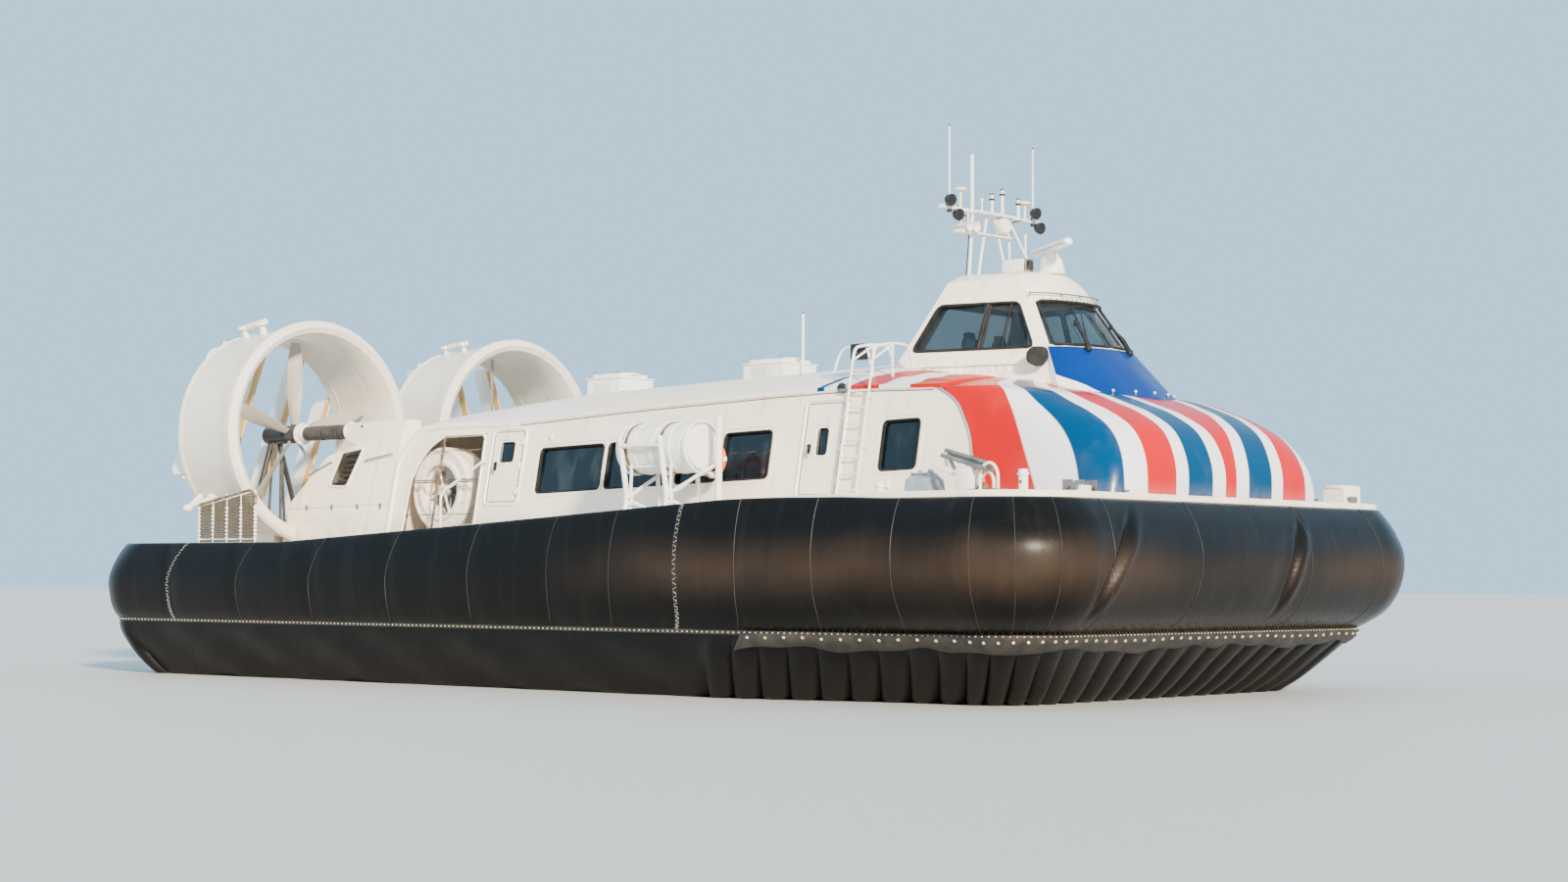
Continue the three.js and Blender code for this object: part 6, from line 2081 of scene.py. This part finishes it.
# %% Windlass, planks and cleats
BOW_FLOOR = 3.30
DRUM_LINE = (
    (0.0, -0.16), (0.10, -0.16), (0.10, -0.13), (0.055, -0.10),
    (0.055, 0.10), (0.10, 0.13), (0.10, 0.16), (0.0, 0.16),
)
bow.block((10.86, -3.98, BOW_FLOOR), (11.16, -3.70, BOW_FLOOR + 0.15), 0.02)
bow.turned(DRUM_LINE, (10.74, -3.55, BOW_FLOOR + 0.13), (0, 1, 0), 24, finish=gear_blue)
for y in (-3.74, -3.36):
    bow.block((10.64, y - 0.02, BOW_FLOOR), (10.84, y + 0.02, BOW_FLOOR + 0.22), finish=bare_metal)
bow.block((10.48, -3.45, BOW_FLOOR), (10.78, -3.05, BOW_FLOOR + 0.12), 0.02)
for k, finish in enumerate((cream, weathered, cream)):
    x = 10.95 + 0.16 * k
    bow.block((x, -3.15, BOW_FLOOR), (x + 0.14, -1.60, BOW_FLOOR + 0.045), finish=finish)
for y in (-2.9, -1.5, 0.0, 1.5, 2.9):
    cleat = Vector((11.30, y, BOW_FLOOR))
    bow.block((-0.05, -0.10, 0), (0.05, 0.10, 0.03), finish=bare_metal, about=cleat)
    for end in (-0.05, 0.05):
        bow.post(11.30, y + end, BOW_FLOOR, BOW_FLOOR + 0.09, 0.018, sides=8, finish=bare_metal)
    horn_ends = [cleat + Vector((0, end, 0.08)) for end in (-0.12, 0.12)]
    bow.bar(*horn_ends, 0.02, sides=8, finish=bare_metal)
bow.block((11.36, 4.02, 3.34), (11.39, 4.28, 3.46), 0.008, finish=bare_metal)
bow.block((10.98, 3.83, 3.60), (11.32, 4.47, 3.66), 0.012)
bow.bar((11.36, 4.0, 3.42), (11.40, 4.0, 3.42), 0.03, sides=12, finish=weathered)
bow.done()

# %% [markdown]
# ## Clamp strip
# Under the rubbing strake, a black strip clamps the bag. Short pale lengths show all along it.

# %% Clamp strip
STRAKE = (0.230, 0.440, 1.350, 0.230, 1.600)
CLAMP_CORNERS = ((0.0, -0.062), (0.022, -0.064), (0.022, -0.100), (0.0, -0.104))
clamp = Piece("strake_clamps", "dark_metal", black_rubber, duct_cream)


def strake_point(segment, t, side, z, out_by):
    (x, y), out = outline(STRAKE, segment, t)
    return Vector((x + out[0] * out_by, -side * (y + out[1] * out_by), deck(x) + z))


def clamp_section(segment, t, side):
    return [strake_point(segment, t, side, z, out) for out, z in CLAMP_CORNERS]


clamp.loft(all_round(marks((6, 12, 60, 24, 10)), clamp_section), closed=True)
for segment, count in (("side", 84), ("corner", 12), ("front", 30), ("stern", 16), ("quarter", 8)):
    for k in range(count):
        for side in BOTH:
            places = [(k + share) / count for share in (0.25, 0.62)]
            ends = [strake_point(segment, t, side, -0.082, 0.020) for t in places]
            clamp.bar(*ends, 0.010, sides=4, finish=duct_cream)
clamp.done()

# %% [markdown]
# ## Cabin seats
# Passengers sit in rows of padded seats across the cabin. One seat is a cushion and a back, both
# with swollen sides, and a pale headrest cover, and copies of its forms fill every row.

# %% Seats
SEAT_ROWS = [-2.30 + 0.92 * k for k in range(8)]
SEAT_PLACES = [side * (0.76 + 0.54 * k) for side in BOTH for k in range(4)]
CUSHION_ROWS = ((-1.0, 0.80), (-0.8, 0.95), (-0.3, 1.0), (0.3, 1.0), (0.8, 0.95), (1.0, 0.80))
SQUARENESS = 0.45
RECLINE = Matrix.Rotation(math.radians(-10), 4, "Y")
seats = Piece("cabin_seat_pads", "seat_fabric", seat_cloth, headrest_cover)
legs = Piece("cabin_seat_frames", "seat_fabric", bare_metal, lamp_black)


def cushion(piece, centre, size, finish=None, turn=None):
    """A soft pad: a rounded box whose sides swell between its narrower top and foot."""
    half = Vector(size) / 2
    loops = []
    for level, grow in CUSHION_ROWS:
        loop = []
        for k in range(16):
            angle = math.tau * k / 16
            c = math.cos(angle)
            s = math.sin(angle)
            x = math.copysign(abs(c) ** SQUARENESS, c) * half[0] * grow
            y = math.copysign(abs(s) ** SQUARENESS, s) * half[1] * grow
            point = Vector((x, y, level * half[2]))
            loop.append(Vector(centre) + (turn @ point if turn else point))
        loops.append(loop)
    piece.loft(loops, finish=finish)


for x in SEAT_ROWS:
    for y in SEAT_PLACES:
        cushion(seats, (x + 0.19, y, 3.745), (0.46, 0.48, 0.12))
        cushion(seats, (x - 0.035, y, 4.05), (0.12, 0.47, 0.60), turn=RECLINE)
        cushion(seats, (x - 0.10, y, 4.32), (0.13, 0.32, 0.17), finish=headrest_cover, turn=RECLINE)
        for edge in (-0.255, 0.255):
            arm = (x, y + edge, 3.92)
            legs.block((-0.02, -0.02, -0.02), (0.30, 0.02, 0.02), 0.012, finish=lamp_black, about=arm)
        for dx in (0.02, 0.34):
            legs.post(x + dx, y, 3.302, 3.70, 0.016, sides=6)
    for side in BOTH:
        legs.bar((x + 0.18, side * 0.52, 3.66), (x + 0.18, side * 2.60, 3.66), 0.022, sides=6)
cabin_seating = seats.done(crease=50)
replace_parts(cabin_seating, "cabin_seats")
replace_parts(legs.done(), "cabin_seats")

# %% [markdown]
# ## Helm
# Two crew seats stand behind a sloping console with screens, indicator lamps, a control column and
# throttle levers. They show through the wheelhouse glass.

# %% Helm station
HELM_FLOOR = 5.20
CONSOLE = ((7.25, 5.20), (7.22, 5.70), (7.27, 5.78), (7.50, 5.955), (7.58, 5.94), (7.58, 5.20))
CONSOLE_TILT = Matrix.Rotation(-math.atan2(0.175, 0.23), 4, "Y")
SCREENS = ((-0.62, 0.17), (-0.25, 0.15), (0.12, 0.15), (0.55, 0.20))
COLUMN = ((7.22, -0.45, 5.22), (7.12, -0.45, 5.62), (7.08, -0.45, 5.90))
YOKE = ((7.06, -0.60, 6.00), (7.06, -0.58, 5.90), (7.06, -0.32, 5.90), (7.06, -0.30, 6.00))
CREW_SEAT_X = 6.60
CREW_SEATS = (-0.45, 0.45)
helm = Piece("helm_station", "seat_fabric", lamp_black, bare_metal, mirror_glass, beige, lamp_glass)
helm.block((6.20, -1.10, 5.16), (7.60, 1.10, HELM_FLOOR), 0.008, finish=beige)
for side in BOTH:
    helm.block((6.20, side * 1.08 - 0.02, 5.19), (7.58, side * 1.08 + 0.02, 5.86), finish=beige)
helm.loft([[(x, y, z) for x, z in CONSOLE] for y in (-0.85, 0.85)])
for y, width in SCREENS:
    spot = (7.385, y, 5.875)
    bezel = ((-0.11, -width, -0.012), (0.11, width, 0.014))
    glass = width - 0.015
    screen = ((-0.095, -glass, 0.012), (0.095, glass, 0.018))
    helm.block(*bezel, 0.008, turn=CONSOLE_TILT, about=spot)
    helm.block(*screen, 0.003, turn=CONSOLE_TILT, finish=mirror_glass, about=spot)
for k in range(9):
    y = -0.66 + 0.16 * k
    helm.bar((7.255, y, 5.77), (7.245, y, 5.80), 0.016, sides=8, finish=lamp_glass)
helm.pipe(COLUMN, 0.022, corner=0.1, finish=bare_metal)
helm.pipe(YOKE, 0.017, corner=0.04)
for y in (-0.06, 0.0, 0.06):
    helm.bar((7.16, y, 5.72), (7.13, y, 5.93), 0.010, sides=8, finish=bare_metal)
    helm.ball((7.13, y, 5.935), 0.02)
helm.block((6.95, -0.12, HELM_FLOOR), (7.24, 0.12, 5.73), 0.02)
for y in CREW_SEATS:
    helm.post(CREW_SEAT_X, y, HELM_FLOOR, 5.60, 0.05, sides=16, finish=bare_metal)
    helm.post(CREW_SEAT_X, y, HELM_FLOOR, 5.225, 0.17, 0.13, sides=20, finish=bare_metal)
    helm.block((6.42, y - 0.20, 5.575), (6.80, y + 0.20, 5.605), finish=bare_metal)
    for edge in (-0.245, 0.245):
        helm.post(6.46, y + edge, 5.60, 5.86, 0.014, sides=8, finish=bare_metal)
        helm.block((6.44, y + edge - 0.025, 5.85), (6.74, y + edge + 0.025, 5.89), 0.014)
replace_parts(helm.done(), "helm")

# %% Crew seats
crew = Piece("crew_seat_pads", "seat_fabric", seat_cloth)
for y in CREW_SEATS:
    cushion(crew, (CREW_SEAT_X, y, 5.665), (0.46, 0.47, 0.12))
    cushion(crew, (6.395, y, 5.96), (0.13, 0.45, 0.52), turn=RECLINE)
    cushion(crew, (6.345, y, 6.26), (0.11, 0.27, 0.15), turn=RECLINE)
    for edge in (-0.19, 0.19):
        cushion(crew, (6.46, y + edge, 5.94), (0.10, 0.08, 0.42), turn=RECLINE)
crew_pads = crew.done(crease=50)
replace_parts(crew_pads, "helm")
